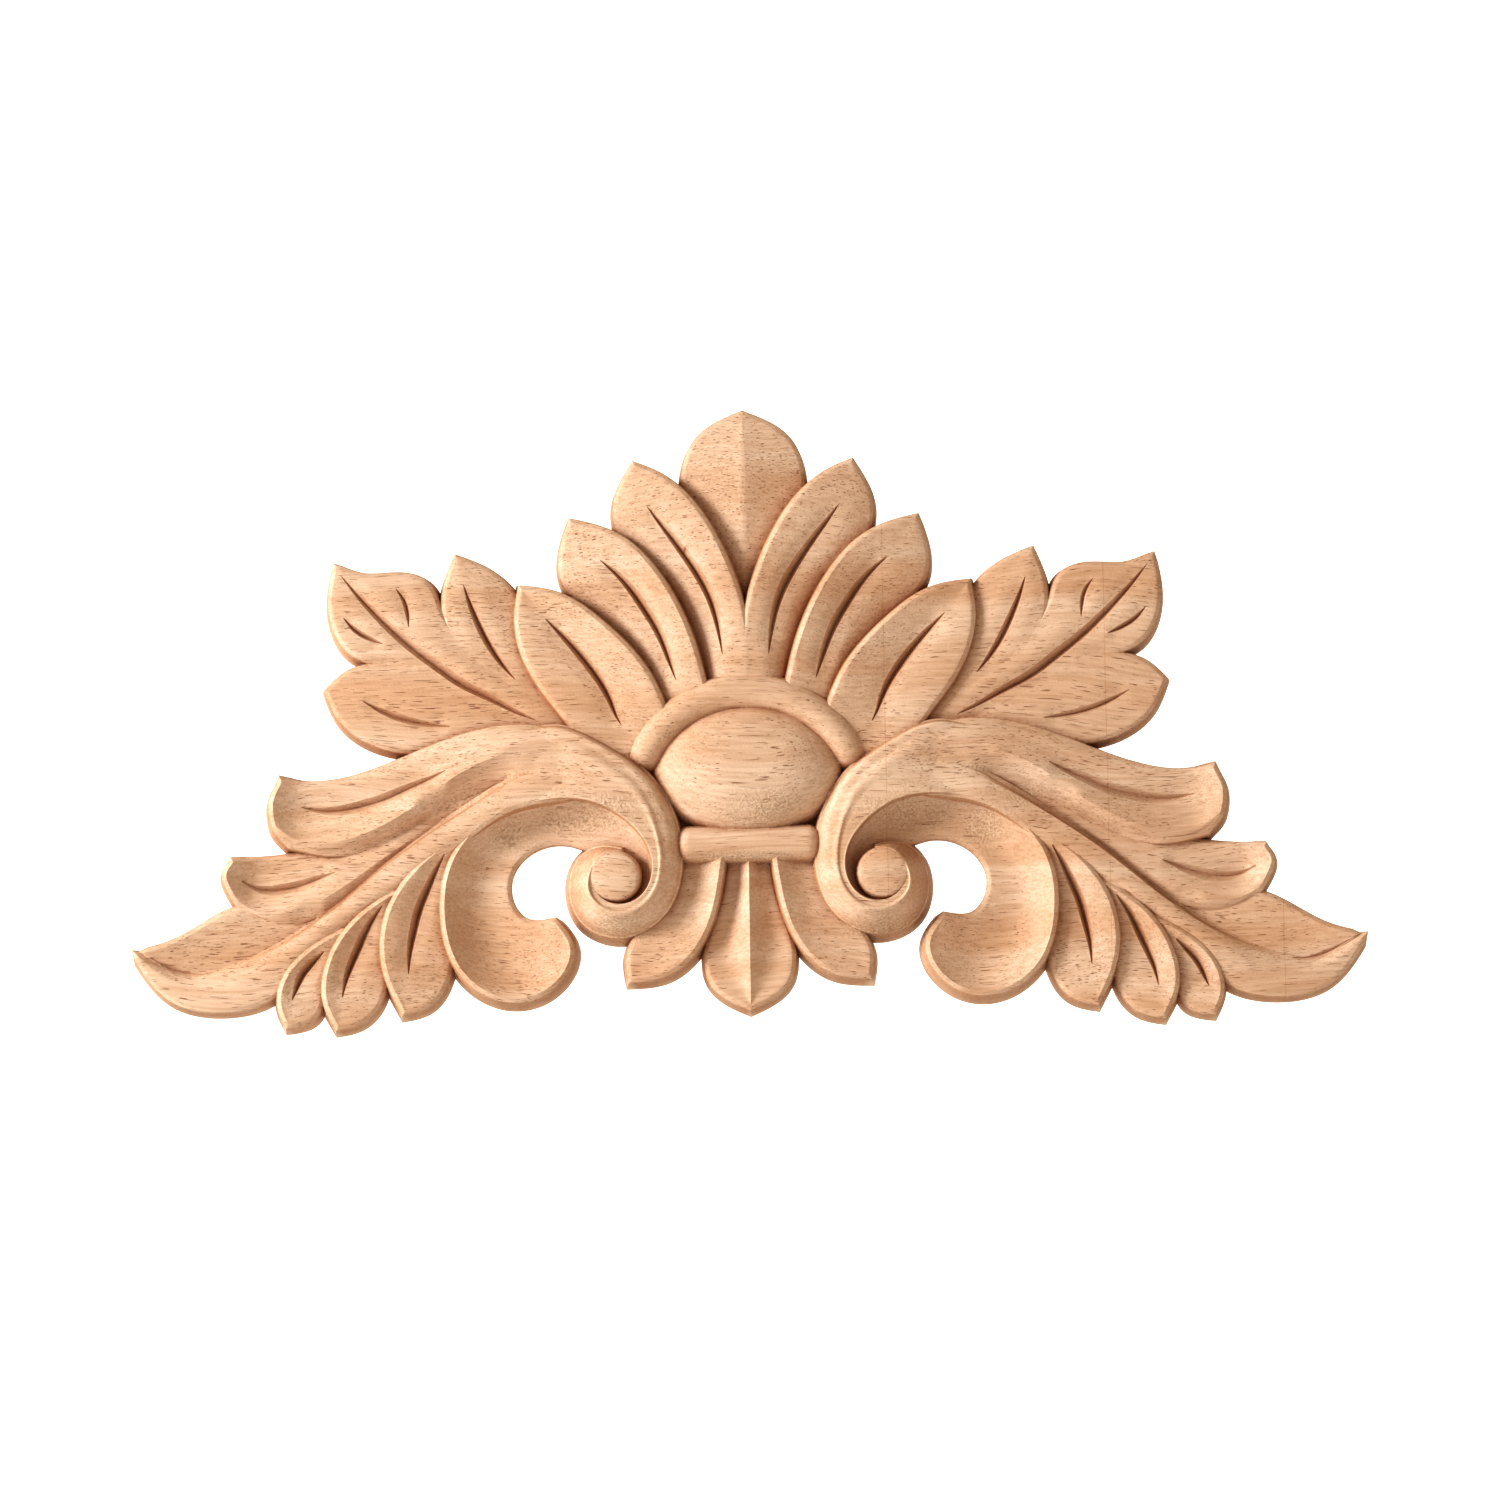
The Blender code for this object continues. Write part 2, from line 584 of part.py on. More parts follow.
def build():
    clear_scene()
    kept = new_collection("carved_wood_applique")
    cutters = new_collection("cutters")
    forms = [boss(cutters), ring(cutters), bar(cutters)]
    forms.append(round_block("eye", EYE_CENTRE, EYE_FACE, EYE_FOOT, EYE_TOP, EYE_SIDES, cutters))
    forms.append(
        round_block("ground", GROUND_CENTRE, GROUND_REACH, GROUND_REACH, GROUND_TOP, GROUND_SIDES, cutters)
    )
    for name, form in FORMS.items():
        forms.append(carve_form(name, form, cutters))
    mesh = joined(forms, cutters)
    open_half(mesh)
    applique = bpy.data.objects.new("applique", mesh)
    kept.objects.link(applique)
    mesh.materials.clear()
    mesh.materials.append(wood_material())
    halves = applique.modifiers.new("halves", "MIRROR")
    halves.use_axis[0] = True
    halves.merge_threshold = HAIR
    for helper in list(cutters.objects):
        bpy.data.objects.remove(helper)
    bpy.data.collections.remove(cutters)


build()
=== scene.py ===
import math

import bmesh
import bpy
import numpy as np
from mathutils import Matrix, Vector, noise
from mathutils.bvhtree import BVHTree


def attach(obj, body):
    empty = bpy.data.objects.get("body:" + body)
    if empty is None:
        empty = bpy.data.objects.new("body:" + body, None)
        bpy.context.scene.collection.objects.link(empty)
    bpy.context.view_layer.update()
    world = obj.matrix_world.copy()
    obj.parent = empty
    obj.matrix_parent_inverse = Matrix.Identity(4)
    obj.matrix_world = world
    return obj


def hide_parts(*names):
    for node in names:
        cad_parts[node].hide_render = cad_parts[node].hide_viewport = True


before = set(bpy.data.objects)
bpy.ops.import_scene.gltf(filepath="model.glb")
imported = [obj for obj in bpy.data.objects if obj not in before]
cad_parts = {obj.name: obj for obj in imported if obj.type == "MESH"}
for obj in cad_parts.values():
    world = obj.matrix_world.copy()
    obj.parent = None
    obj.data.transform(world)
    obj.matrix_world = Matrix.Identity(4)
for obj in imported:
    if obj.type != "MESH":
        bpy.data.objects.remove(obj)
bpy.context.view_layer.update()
scene = bpy.context.scene
mm = 0.001

# Carved wood applique. X runs across, Z is up, the flat back lies on y = 0 and the carving looks
# along -Y. Points of the pattern are (x, z, height above the back) in millimetres, left half only.

# the board the carving is cut from, and how the cutter and the sanding left it
board = {
    "stepAlong": 1.0,        # mesh cell along a leaf
    "fewestSteps": 24,
    "stepAcross": 1.1,       # mesh cell across a leaf
    "wallLean": 13.0,        # degrees, from the edge of the face to the sawn back
    "sharpestMitre": 1.3,    # the furthest a corner of a wall runs out, as a share
    "belowBack": 1.0,        # every form runs this far past the back before it is sawn
    "edge": [(0.12, 0.03), (1.0, 0.62), (1.22, 1.0)],  # broken edge round a leaf: (out, down)
    "faceAbove": 4.0,        # the carved face is everywhere higher than this
    "weld": 0.02,
    "sliver": 0.004,         # shortest edge left by the joins
    "sharpAngle": 24.0,      # degrees
    "unevenness": 0.07,      # how far hand finishing left the faces off true
    "unevenSize": 9.0,
    "fineUneven": (2.7, 0.4),    # a finer unevenness on top: times finer, and its share
    "backSkin": 0.5,         # the sawn back stays true this far in
    "mirrorWeld": 0.001,
    "swellFade": 0.5,        # the power by which a swell dies out towards the tip
}


def smoothLine(points, count):
    # count points, evenly spaced, on the natural cubic spline through the points
    knots = np.array(points, float)
    reach = np.linalg.norm(np.diff(knots[:, :2], axis=0), axis=1)
    along = np.concatenate([[0.0], np.cumsum(reach)])
    last = len(knots) - 1
    system = np.eye(last + 1)
    wanted = np.zeros_like(knots)
    for i in range(1, last):
        system[i, i - 1 : i + 2] = reach[i - 1], 2 * (reach[i - 1] + reach[i]), reach[i]
        wanted[i] = 6 * ((knots[i + 1] - knots[i]) / reach[i] - (knots[i] - knots[i - 1]) / reach[i - 1])
    bend = np.linalg.solve(system, wanted)
    at = np.linspace(0.0, along[-1], count)
    k = np.clip(np.searchsorted(along, at, side="right") - 1, 0, last - 1)
    step = reach[k][:, None]
    after = (at - along[k])[:, None]
    before = step - after
    curve = (bend[k] * before**3 + bend[k + 1] * after**3) / (6 * step)
    return curve + (knots[k] / step - bend[k] * step / 6) * before + (
        knots[k + 1] / step - bend[k + 1] * step / 6
    ) * after


def lengthOf(points):
    plan = np.array(points)[:, :2]
    return float(np.sum(np.linalg.norm(np.diff(plan, axis=0), axis=1)))


def place(x, z, height):
    return Vector((x * mm, -height * mm, z * mm))


def fullLines(form):
    # the lines run on to their shared tip, and are mirrored where the leaf lies on the middle
    lines = [line + [form["tip"]] if "tip" in form else line for line in form["lines"]]
    swell = list(form.get("swell", [0] * (len(lines) - 1)))
    crease = list(form.get("crease", []))
    if form.get("bothHalves"):
        crease += [2 * (len(lines) - 1) - i for i in crease] + [len(lines) - 1]
        lines += [[(-x, z, height) for x, z, height in line] for line in lines[-2::-1]]
        swell += swell[::-1]
    return lines, swell, crease


def bulge(t, first, last):
    # a hump as high as 1 that leaves the next strip's slope alone
    if first and last:
        return 4 * t * (1 - t)
    if first:
        return 6.75 * t * (1 - t) ** 2
    if last:
        return 6.75 * t**2 * (1 - t)
    return 16 * t**2 * (1 - t) ** 2


def rowsAcross(lines, swell, crease, steps):
    # rows of points over the lines: smooth across them, except along a crease
    along = [smoothLine(line, steps + 1) for line in lines]
    fade = np.linspace(1.0, 0.0, steps + 1) ** board["swellFade"]
    rows = [along[0]]
    for i in range(len(along) - 1):
        here, there = along[i], along[i + 1]
        slopeHere = there - here
        slopeThere = there - here
        if i > 0:
            slopeHere = (there - along[i - 1]) / 2
        if i + 2 < len(along):
            slopeThere = (along[i + 2] - here) / 2
        if i in crease:
            slopeHere[:, 2] = (there - here)[:, 2]
        if i + 1 in crease:
            slopeThere[:, 2] = (there - here)[:, 2]
        width = np.max(np.linalg.norm((there - here)[:, :2], axis=1))
        strips = max(2, round(width / board["stepAcross"]))
        for k in range(1, strips + 1):
            t = k / strips
            row = (
                (2 * t**3 - 3 * t**2 + 1) * here
                + (t**3 - 2 * t**2 + t) * slopeHere
                + (3 * t**2 - 2 * t**3) * there
                + (t**3 - t**2) * slopeThere
            )
            row[:, 2] += swell[i] * bulge(t, i == 0, i == len(along) - 2) * fade
            rows.append(row)
    return np.array(rows)


def rimOf(sheet):
    # the sheet's border vertices, in order round it
    border = {e for e in sheet.edges if len(e.link_faces) == 1}
    first = next(iter(border)).verts[0]
    ring, cameBy = [first], None
    while True:
        edge = next(e for e in ring[-1].link_edges if e in border and e is not cameBy)
        cameBy = edge
        following = edge.other_vert(ring[-1])
        if following is first:
            return ring
        ring.append(following)


def outward(ring):
    # for each vertex of the ring, the plan direction away from the form
    plan = np.array([(v.co.x, v.co.z) for v in ring])
    following = np.roll(plan, -1, axis=0)
    edge = following - plan
    edge /= np.linalg.norm(edge, axis=1)[:, None]
    doubledArea = np.sum(plan[:, 0] * following[:, 1] - following[:, 0] * plan[:, 1])
    side = math.copysign(1.0, doubledArea) * np.stack([edge[:, 1], -edge[:, 0]], axis=1)
    both = side + np.roll(side, 1, axis=0)
    both /= np.linalg.norm(both, axis=1)[:, None]
    lean = np.clip(np.sum(both * side, axis=1), 1 / board["sharpestMitre"], 1.0)
    return both / lean[:, None]


def extrudeRing(sheet, ring, points):
    edges = [sheet.edges.get((a, b)) for a, b in zip(ring, ring[1:] + ring[:1])]
    made = bmesh.ops.extrude_edge_only(sheet, edges=edges)["geom"]
    fresh = {v for v in made if isinstance(v, bmesh.types.BMVert)}
    after = []
    for vertex, point in zip(ring, points):
        twin = next(e.other_vert(vertex) for e in vertex.link_edges if e.other_vert(vertex) in fresh)
        twin.co = point
        after.append(twin)
    return after


def addSides(sheet, walls, wear, lines):
    # a broken edge, a leaning wall to below the back, and a face that closes it there; walls and
    # wear hold a share for the side of the first line and one for the side of the last
    ring = rimOf(sheet)
    rim = [v.co.copy() for v in ring]
    away = outward(ring)
    first = np.array(lines[0])[:, :2]
    last = np.array(lines[-1])[:, :2]
    lean = math.tan(math.radians(board["wallLean"]))
    nearLast = []
    for co in rim:
        here = np.array([co.x, co.z]) / mm
        toFirst = np.min(np.linalg.norm(first - here, axis=1))
        toLast = np.min(np.linalg.norm(last - here, axis=1))
        nearLast.append(int(toLast <= toFirst))
    for step in board["edge"] + [None]:
        points = []
        for co, direction, end in zip(rim, away, nearLast):
            height = -co.y / mm
            if step:
                out, down = step[0] * wear[end], step[1] * wear[end]
            else:
                out, down = (height + board["belowBack"]) * lean * walls[end], height + board["belowBack"]
            x, z = np.array([co.x, co.z]) / mm + direction * out
            points.append(place(x, z, height - down))
        ring = extrudeRing(sheet, ring, points)
    edges = [sheet.edges.get((a, b)) for a, b in zip(ring, ring[1:] + ring[:1])]
    bmesh.ops.contextual_create(sheet, geom=edges)


def toObject(bm, name):
    bmesh.ops.recalc_face_normals(bm, faces=bm.faces)
    mesh = bpy.data.meshes.new(name)
    bm.to_mesh(mesh)
    bm.free()
    made = bpy.data.objects.new(name, mesh)
    scene.collection.objects.link(made)
    return made


def carveForm(name, form):
    # one leaf, lobe or band: a grid laid over the form's lines, with its sides added
    lines, swell, crease = fullLines(form)
    steps = max(board["fewestSteps"], round(max(lengthOf(line) for line in lines) / board["stepAlong"]))
    rows = rowsAcross(lines, swell, crease, steps)
    sheet = bmesh.new()
    bmesh.ops.create_grid(sheet, x_segments=steps, y_segments=len(rows) - 1, size=0.5)
    for vertex in sheet.verts:
        column = round((vertex.co.x + 0.5) * steps)
        row = round((vertex.co.y + 0.5) * (len(rows) - 1))
        vertex.co = place(*rows[row, column])
    bmesh.ops.remove_doubles(sheet, verts=sheet.verts, dist=board["weld"] * mm)
    outline = [smoothLine(line, steps) for line in lines]
    addSides(sheet, form.get("walls", (1.0, 1.0)), form.get("wear", (1.0, 1.0)), outline)
    return toObject(sheet, name)


def sweep(name, sections):
    # a closed bar from a run of sections, each a ring of points
    bar = bmesh.new()
    ring = bmesh.ops.create_circle(bar, segments=len(sections[0]), radius=mm)["verts"]
    for vertex, point in zip(ring, sections[0]):
        vertex.co = point
    start = ring
    for section in sections[1:]:
        ring = extrudeRing(bar, ring, section)
    for end in (start, ring):
        edges = [bar.edges.get(pair) for pair in zip(end, end[1:] + end[:1])]
        bmesh.ops.contextual_create(bar, geom=edges)
    return toObject(bar, name)


def beadAlong(name, points, radii, sides):
    # a round bead along the points, each of them (x, z, height)
    path = np.array(points, float)
    ahead = np.gradient(path[:, :2], axis=0)
    ahead /= np.linalg.norm(ahead, axis=1)[:, None]
    sections = []
    for (x, z, height), (dx, dz), radius in zip(path, ahead, radii):
        ring = []
        for k in range(sides):
            turn = 2 * math.pi * k / sides
            out = radius * math.cos(turn)
            ring.append(place(x + dz * out, z - dx * out, height + radius * math.sin(turn)))
        sections.append(ring)
    return sweep(name, sections)


def beadStations(bead):
    # places along a bead from 0 to 1, closer at its round ends, with its share of full radius there
    stations = []
    for i in range(bead["stations"]):
        share = (1 - math.cos(math.pi * i / (bead["stations"] - 1))) / 2
        inside = min(share, 1 - share, bead["roundEnd"]) / bead["roundEnd"]
        stations.append((share, max(bead["endSize"], math.sqrt(max(0.0, 1 - (1 - inside) ** 2)))))
    return stations


forms = []

# the domed middle, with its ring above and its bar below
boss = {"centre": (0.0, 1.8), "reach": (24.0, 17.2), "foot": 3.0, "top": 15.6, "flatness": 2.7,
        "sides": (96, 48)}
dome = bmesh.new()
bmesh.ops.create_uvsphere(dome, u_segments=boss["sides"][0], v_segments=boss["sides"][1], radius=1.0)
for vertex in dome.verts:
    x = boss["centre"][0] + vertex.co.x * boss["reach"][0]
    z = boss["centre"][1] + vertex.co.y * boss["reach"][1]
    out = min(1.0, math.hypot(vertex.co.x, vertex.co.y))
    rise = math.copysign((1 - out ** boss["flatness"]) ** (1 / boss["flatness"]), vertex.co.z)
    vertex.co = place(x, z, boss["foot"] + rise * (boss["top"] - boss["foot"]))
forms.append(toObject(dome, "boss"))

ring = {"centre": (0.0, -7.2), "outside": 32.2, "bead": (5.0, 4.1), "crest": 13.8, "endsDrop": 3.4,
        "thinning": 1.5, "dropping": 8, "halfAngle": 73.0, "stations": 90, "sides": 28,
        "roundEnd": 0.055, "endSize": 0.06}
points, radii = [], []
for share, fullness in beadStations(ring):
    turn = math.radians(ring["halfAngle"]) * (2 * share - 1)
    fromTop = abs(2 * share - 1)
    bead = ring["bead"][0] + (ring["bead"][1] - ring["bead"][0]) * fromTop ** ring["thinning"]
    x = ring["centre"][0] + (ring["outside"] - bead) * math.sin(turn)
    z = ring["centre"][1] + (ring["outside"] - bead) * math.cos(turn)
    points.append((x, z, ring["crest"] - bead - ring["endsDrop"] * fromTop ** ring["dropping"]))
    radii.append(bead * fullness)
forms.append(beadAlong("ring", points, radii, ring["sides"]))

bar = {"centre": (0.0, -16.6), "halfLength": 18.0, "bead": 4.6, "crest": 12.6, "stations": 50,
       "sides": 28, "roundEnd": 0.1, "endSize": 0.06}
points, radii = [], []
for share, fullness in beadStations(bar):
    x = bar["centre"][0] + bar["halfLength"] * (2 * share - 1)
    points.append((x, bar["centre"][1], bar["crest"] - bar["bead"]))
    radii.append(bar["bead"] * fullness)
forms.append(beadAlong("bar", points, radii, bar["sides"]))


def roundBlock(name, block):
    # a low turned block, its profile given from the middle outwards
    turned = bmesh.new()
    cx, cz = block["centre"]
    corners = [turned.verts.new(place(cx + out, cz, height)) for out, height in block["profile"]]
    edges = [turned.edges.new(pair) for pair in zip(corners, corners[1:])]
    bmesh.ops.spin(
        turned, geom=corners + edges, cent=place(cx, cz, 0), axis=(0, 1, 0), dvec=(0, 0, 0),
        angle=2 * math.pi, steps=block["sides"], use_merge=True,
    )
    bmesh.ops.remove_doubles(turned, verts=turned.verts, dist=board["weld"] * mm)
    return toObject(turned, name)


eye = {
    "centre": (-32.3, -24.5),
    "profile": [(0, 13.7), (2.5, 13.7), (4.8, 13.6), (5.6, 13.3), (6.1, 12.8), (6.4, 12.1), (7.2, 3.0),
                (7.5, -1.0), (0, -1.0)],
    "sides": 64,
}
forms.append(roundBlock("eye", eye))

ground = {"centre": (0.0, -3.0), "profile": [(0, 6.0), (30.0, 6.0), (30.0, -1.0), (0, -1.0)], "sides": 48}
forms.append(roundBlock("ground", ground))

# the leaves over the ring, each lying on the one nearer the middle
crownLeaf = {
    "lines": [
        [(-3, 24, 6), (-9, 52, 5.5), (-14.2, 71.5, 6.7), (-10.8, 82.6, 7.1)],
        [(0, 24, 7), (0, 50, 7.4), (0, 66, 9.4)],
    ],
    "tip": (0, 88.9, 7.6),
    "bothHalves": True,
}
forms.append(carveForm("crownLeaf", crownLeaf))

fanLeaf1 = {
    "lines": [
        [(-9, 19, 9.5), (-12, 35, 8), (-20.5, 48, 7.3), (-29.6, 59.5, 7.5), (-30.6, 67.2, 8)],
        [(-5, 19, 11.2), (-6.9, 38, 11.2), (-13.6, 55, 10.6), (-22.5, 67, 9.7)],
        [(0.4, 19, 11.8), (-0.8, 39.5, 12.2), (-6, 55, 12), (-15, 69.2, 10.7), (-21, 74, 9.5)],
    ],
    "tip": (-26.4, 76.5, 8.5),
    "swell": (0.3, 0),
}
forms.append(carveForm("fanLeaf1", fanLeaf1))

fanLeaf2 = {
    "lines": [
        [(-21, 16, 9.5), (-25, 28, 8.4), (-34.5, 40.3, 7.7), (-43.2, 48, 7.7), (-43.9, 55.3, 8.1)],
        [(-15, 16, 11.2), (-19, 32, 11.2), (-26, 45, 10.6), (-34.8, 54.3, 9.8)],
        [(-9.8, 18.5, 12), (-13.2, 32, 12.5), (-20.7, 48, 12.1), (-31.5, 59, 10.5)],
    ],
    "tip": (-41.8, 62.6, 8.6),
    "swell": (0.3, 0),
}
forms.append(carveForm("fanLeaf2", fanLeaf2))

fanLeaf3 = {
    "lines": [
        [(-38, 6, 11.2), (-42.6, 13.5, 11.1), (-51.3, 26, 10.9), (-54.9, 39, 10.3)],
        [(-28, 6, 11.2), (-33.6, 21.5, 10.8), (-42.1, 34, 10.4), (-48.3, 40, 10)],
        [(-18.8, 12.2, 12.3), (-24.3, 25, 12.6), (-35, 37.2, 12), (-46, 44.6, 10.6)],
    ],
    "tip": (-54.1, 46.3, 9.3),
    "swell": (0.3, 0),
}
forms.append(carveForm("fanLeaf3", fanLeaf3))

# the side leaf, one flat leaf of three lobes
sideLeafUpper = {
    "lines": [
        [(-60, 16, 8.4), (-71.3, 35, 8.8), (-72.6, 45.5, 8.6)],
        [(-48, 14, 8.6), (-61.2, 33, 9.3), (-68.3, 48.5, 8.8)],
        [(-40, 12, 7.4), (-52, 37, 7.4), (-60, 49.1, 7.8)],
    ],
    "tip": (-69.8, 54.2, 8.2),
}
forms.append(carveForm("sideLeafUpper", sideLeafUpper))

sideLeafTip = {
    "lines": [
        [(-42, 4, 7.4), (-74, 21, 7.7), (-86, 28.4, 8), (-95.4, 32, 8.9), (-100.2, 42.3, 8.6)],
        [(-41, 10, 8.8), (-62, 21.3, 9.4), (-81, 34, 9.4), (-93, 45.3, 9)],
        [(-39, 16, 8.2), (-64, 30, 8.8), (-74.6, 41.5, 8.7), (-77.2, 47.6, 8.5), (-84, 50.2, 8.5),
         (-92, 50, 8.5)],
    ],
    "tip": (-99.2, 52.4, 8.2),
}
forms.append(carveForm("sideLeafTip", sideLeafTip))

sideLeafLower = {
    "lines": [
        [(-50, 5, 7.6), (-72, 7.2, 7.9), (-88.6, 9.2, 8.1), (-98, 15.6, 8.2)],
        [(-50, 11, 8.4), (-72, 14.5, 8.7), (-87, 18, 8.6)],
        [(-55, 19, 8), (-72, 25.6, 8.2), (-88, 28.2, 8.3), (-97, 26, 8.1)],
    ],
    "tip": (-101.2, 22.2, 8),
}
forms.append(carveForm("sideLeafLower", sideLeafLower))

# the scroll: its lobes and rib on the outside, its leaves below, its curl round the gap, its band on top
scrollLobe1 = {
    "lines": [
        [(-36, 7, 11), (-52, 11.8, 11.4), (-72, 8.9, 10.6), (-92, 1.4, 9.5), (-104, -0.9, 9.2),
         (-109.5, -0.6, 9.7), (-112.6, 0, 10.8)],
        [(-36, 5, 12.6), (-52, 9.2, 12.9), (-73, 5, 11.2), (-92, -4.2, 9.5), (-103, -6.2, 8.5),
         (-109, -6, 8.6), (-114.7, -5.2, 11)],
        [(-36, 3, 12.8), (-52, 6.8, 13.4), (-61, 4.9, 13), (-70, 0.8, 12.4), (-80, -6.2, 11.6),
         (-90, -11.8, 10.9), (-101.5, -15, 10), (-109.4, -14, 9.8), (-114, -10.9, 10.7)],
        [(-36, -1, 12.4), (-52, 1, 11.6), (-62, -1.2, 9.5), (-73, -6.8, 8.2), (-88, -14.6, 7.6),
         (-101, -16.9, 8.8), (-110.8, -15, 9.2)],
    ],
    "swell": (0.5, 0, -0.2),
    "crease": [2],
}
forms.append(carveForm("scrollLobe1", scrollLobe1))

scrollLobe2 = {
    "lines": [
        [(-50, 2, 10.2), (-60, 2.6, 9.2), (-80, -8, 7.4), (-98, -15.4, 6.9), (-113, -18.4, 7.2),
         (-120.5, -19, 8.2), (-124.5, -19.2, 9.8)],
        [(-52, 0.5, 10), (-62, -0.7, 9), (-82, -12.3, 8), (-100, -21.4, 7.8), (-114, -24.8, 7),
         (-121, -24, 7.2), (-126.2, -22.8, 9.8)],
        [(-56, -1.5, 9.6), (-66, -6, 8), (-84, -15.8, 8.1), (-98.2, -25.6, 8.2), (-113, -31.8, 8.4),
         (-119.5, -31, 8.3), (-123.4, -28.8, 8.8)],
        [(-56, -3.5, 9.2), (-66, -7.4, 8), (-84, -18.4, 6.9), (-99, -29.6, 6.6), (-113, -34.4, 6.5),
         (-121, -31.6, 7.4)],
    ],
    "crease": [2],
}
forms.append(carveForm("scrollLobe2", scrollLobe2))

scrollTipUpper = {
    "lines": [
        [(-100, -23, 7), (-112, -27.6, 7.4), (-126.5, -31.8, 8), (-134, -36, 8.1), (-141, -39.4, 8.6)],
        [(-101, -31, 6), (-112, -38, 6.1), (-126, -44.4, 6.2), (-138, -45.4, 6.9)],
    ],
    "tip": (-146.2, -40.8, 8.8),
}
forms.append(carveForm("scrollTipUpper", scrollTipUpper))

scrollRib = {
    "lines": [
        [(-44, 3, 12.2), (-53.8, 0.6, 11.6), (-61.7, -3.1, 10.4), (-70.6, -8.5, 8.8), (-88.3, -20.5, 7.6),
         (-100.8, -30.7, 6.9), (-111.3, -37.8, 6.6), (-124, -43.6, 6.4), (-138, -45.4, 6.9)],
        [(-44, 1.5, 12.7), (-53.2, -0.4, 12.8), (-61.2, -4, 12.3), (-70.2, -9.2, 11.6),
         (-87.8, -21.2, 10.1), (-100.4, -31.4, 9.1), (-111, -38.6, 8.3), (-124, -44.9, 7.5),
         (-138, -46.3, 7.6)],
        [(-44, -3, 12.6), (-57, -5.2, 12.9), (-70, -12.8, 11.6), (-89, -26.6, 9.9), (-107, -38.8, 9),
         (-124, -48.5, 8.5), (-137, -49, 8.4)],
        [(-44, -4.6, 12.4), (-58, -7.4, 12.8), (-69, -14.8, 11), (-87, -29.4, 8.6), (-106, -42.2, 8),
         (-116, -51.6, 8), (-127, -54.4, 8), (-139.6, -51.6, 8.1)],
    ],
    "tip": (-148.1, -41.2, 9),
    "crease": [1],
}
forms.append(carveForm("scrollRib", scrollRib))

scrollLeaf1 = {
    "lines": [
        [(-97, -36, 9), (-106, -41.2, 9.4), (-112, -48, 9.1), (-113.1, -54.3, 8.7)],
        [(-99, -39, 8.7), (-106.5, -44.3, 8.6), (-110.5, -51.8, 8.2)],
        [(-97, -43, 8), (-102.7, -49.2, 7.3), (-106, -56.9, 7.5)],
    ],
    "tip": (-111.5, -58.5, 8.2),
}
forms.append(carveForm("scrollLeaf1", scrollLeaf1))

scrollLeaf2 = {
    "lines": [
        [(-82, -25.5, 9.6), (-94, -33.4, 10), (-101, -43.5, 9.8), (-102, -53.4, 9.2)],
        [(-84, -28, 9), (-94.7, -38.3, 8.8), (-98.6, -51, 8.4)],
        [(-82, -33, 8), (-87.5, -42.8, 7.3), (-90, -53.2, 7.3), (-94.4, -57.9, 7.9)],
    ],
    "tip": (-99.4, -59.2, 8.4),
}
forms.append(carveForm("scrollLeaf2", scrollLeaf2))

scrollLeaf3 = {
    "lines": [
        [(-68, -12.5, 10.6), (-80.5, -22.5, 10.8), (-87, -33, 10.5), (-87.4, -46.3, 9.8)],
        [(-70.2, -16.5, 9.8), (-79.5, -28.6, 9.2), (-82.5, -43.5, 8.9)],
        [(-71.4, -20, 8.8), (-72.4, -34, 7.6), (-73.4, -47.2, 7.5), (-78.2, -54.2, 8.2)],
    ],
    "tip": (-83.4, -55.7, 8.7),
}
forms.append(carveForm("scrollLeaf3", scrollLeaf3))

scrollCurl = {
    "lines": [
        [(-37.6, -28, 12.4), (-31, -31, 12.4), (-24.3, -27, 12.4), (-23.6, -19, 12.4),
         (-30, -9.4, 12.2), (-41, -4.6, 11.9), (-54, -5.6, 11.6), (-65, -11.6, 11.2), (-71.8, -21, 10.9),
         (-73.4, -34, 10.8), (-69.4, -46.4, 10.3), (-58.5, -53.2, 10), (-47.6, -50, 10),
         (-43.4, -41.4, 9.8)],
        [(-36.8, -27.6, 12.4), (-31, -29.8, 11), (-26, -25.5, 9.6), (-27, -18.5, 8.4),
         (-33.5, -12.5, 7.4), (-43, -9.6, 7), (-55, -12, 6.8), (-64, -20.3, 6.8), (-66.6, -30, 6.6),
         (-63, -42, 6.3), (-54, -46.2, 6.9), (-47.6, -40.8, 8.5)],
        [(-36, -27, 12.4), (-31.5, -28.6, 11), (-28, -24.5, 9.6), (-30.4, -20.4, 8.4),
         (-37, -17.2, 7), (-44, -14.9, 6.5), (-52.2, -16.4, 6.4), (-57.7, -22.2, 6.4),
         (-58, -30, 6.5), (-54, -34.8, 7.1)],
    ],
    "tip": (-47.2, -34.9, 8.9),
    "swell": (-0.4, 0),
    "walls": (1.0, 0.45),
}
forms.append(carveForm("scrollCurl", scrollCurl))

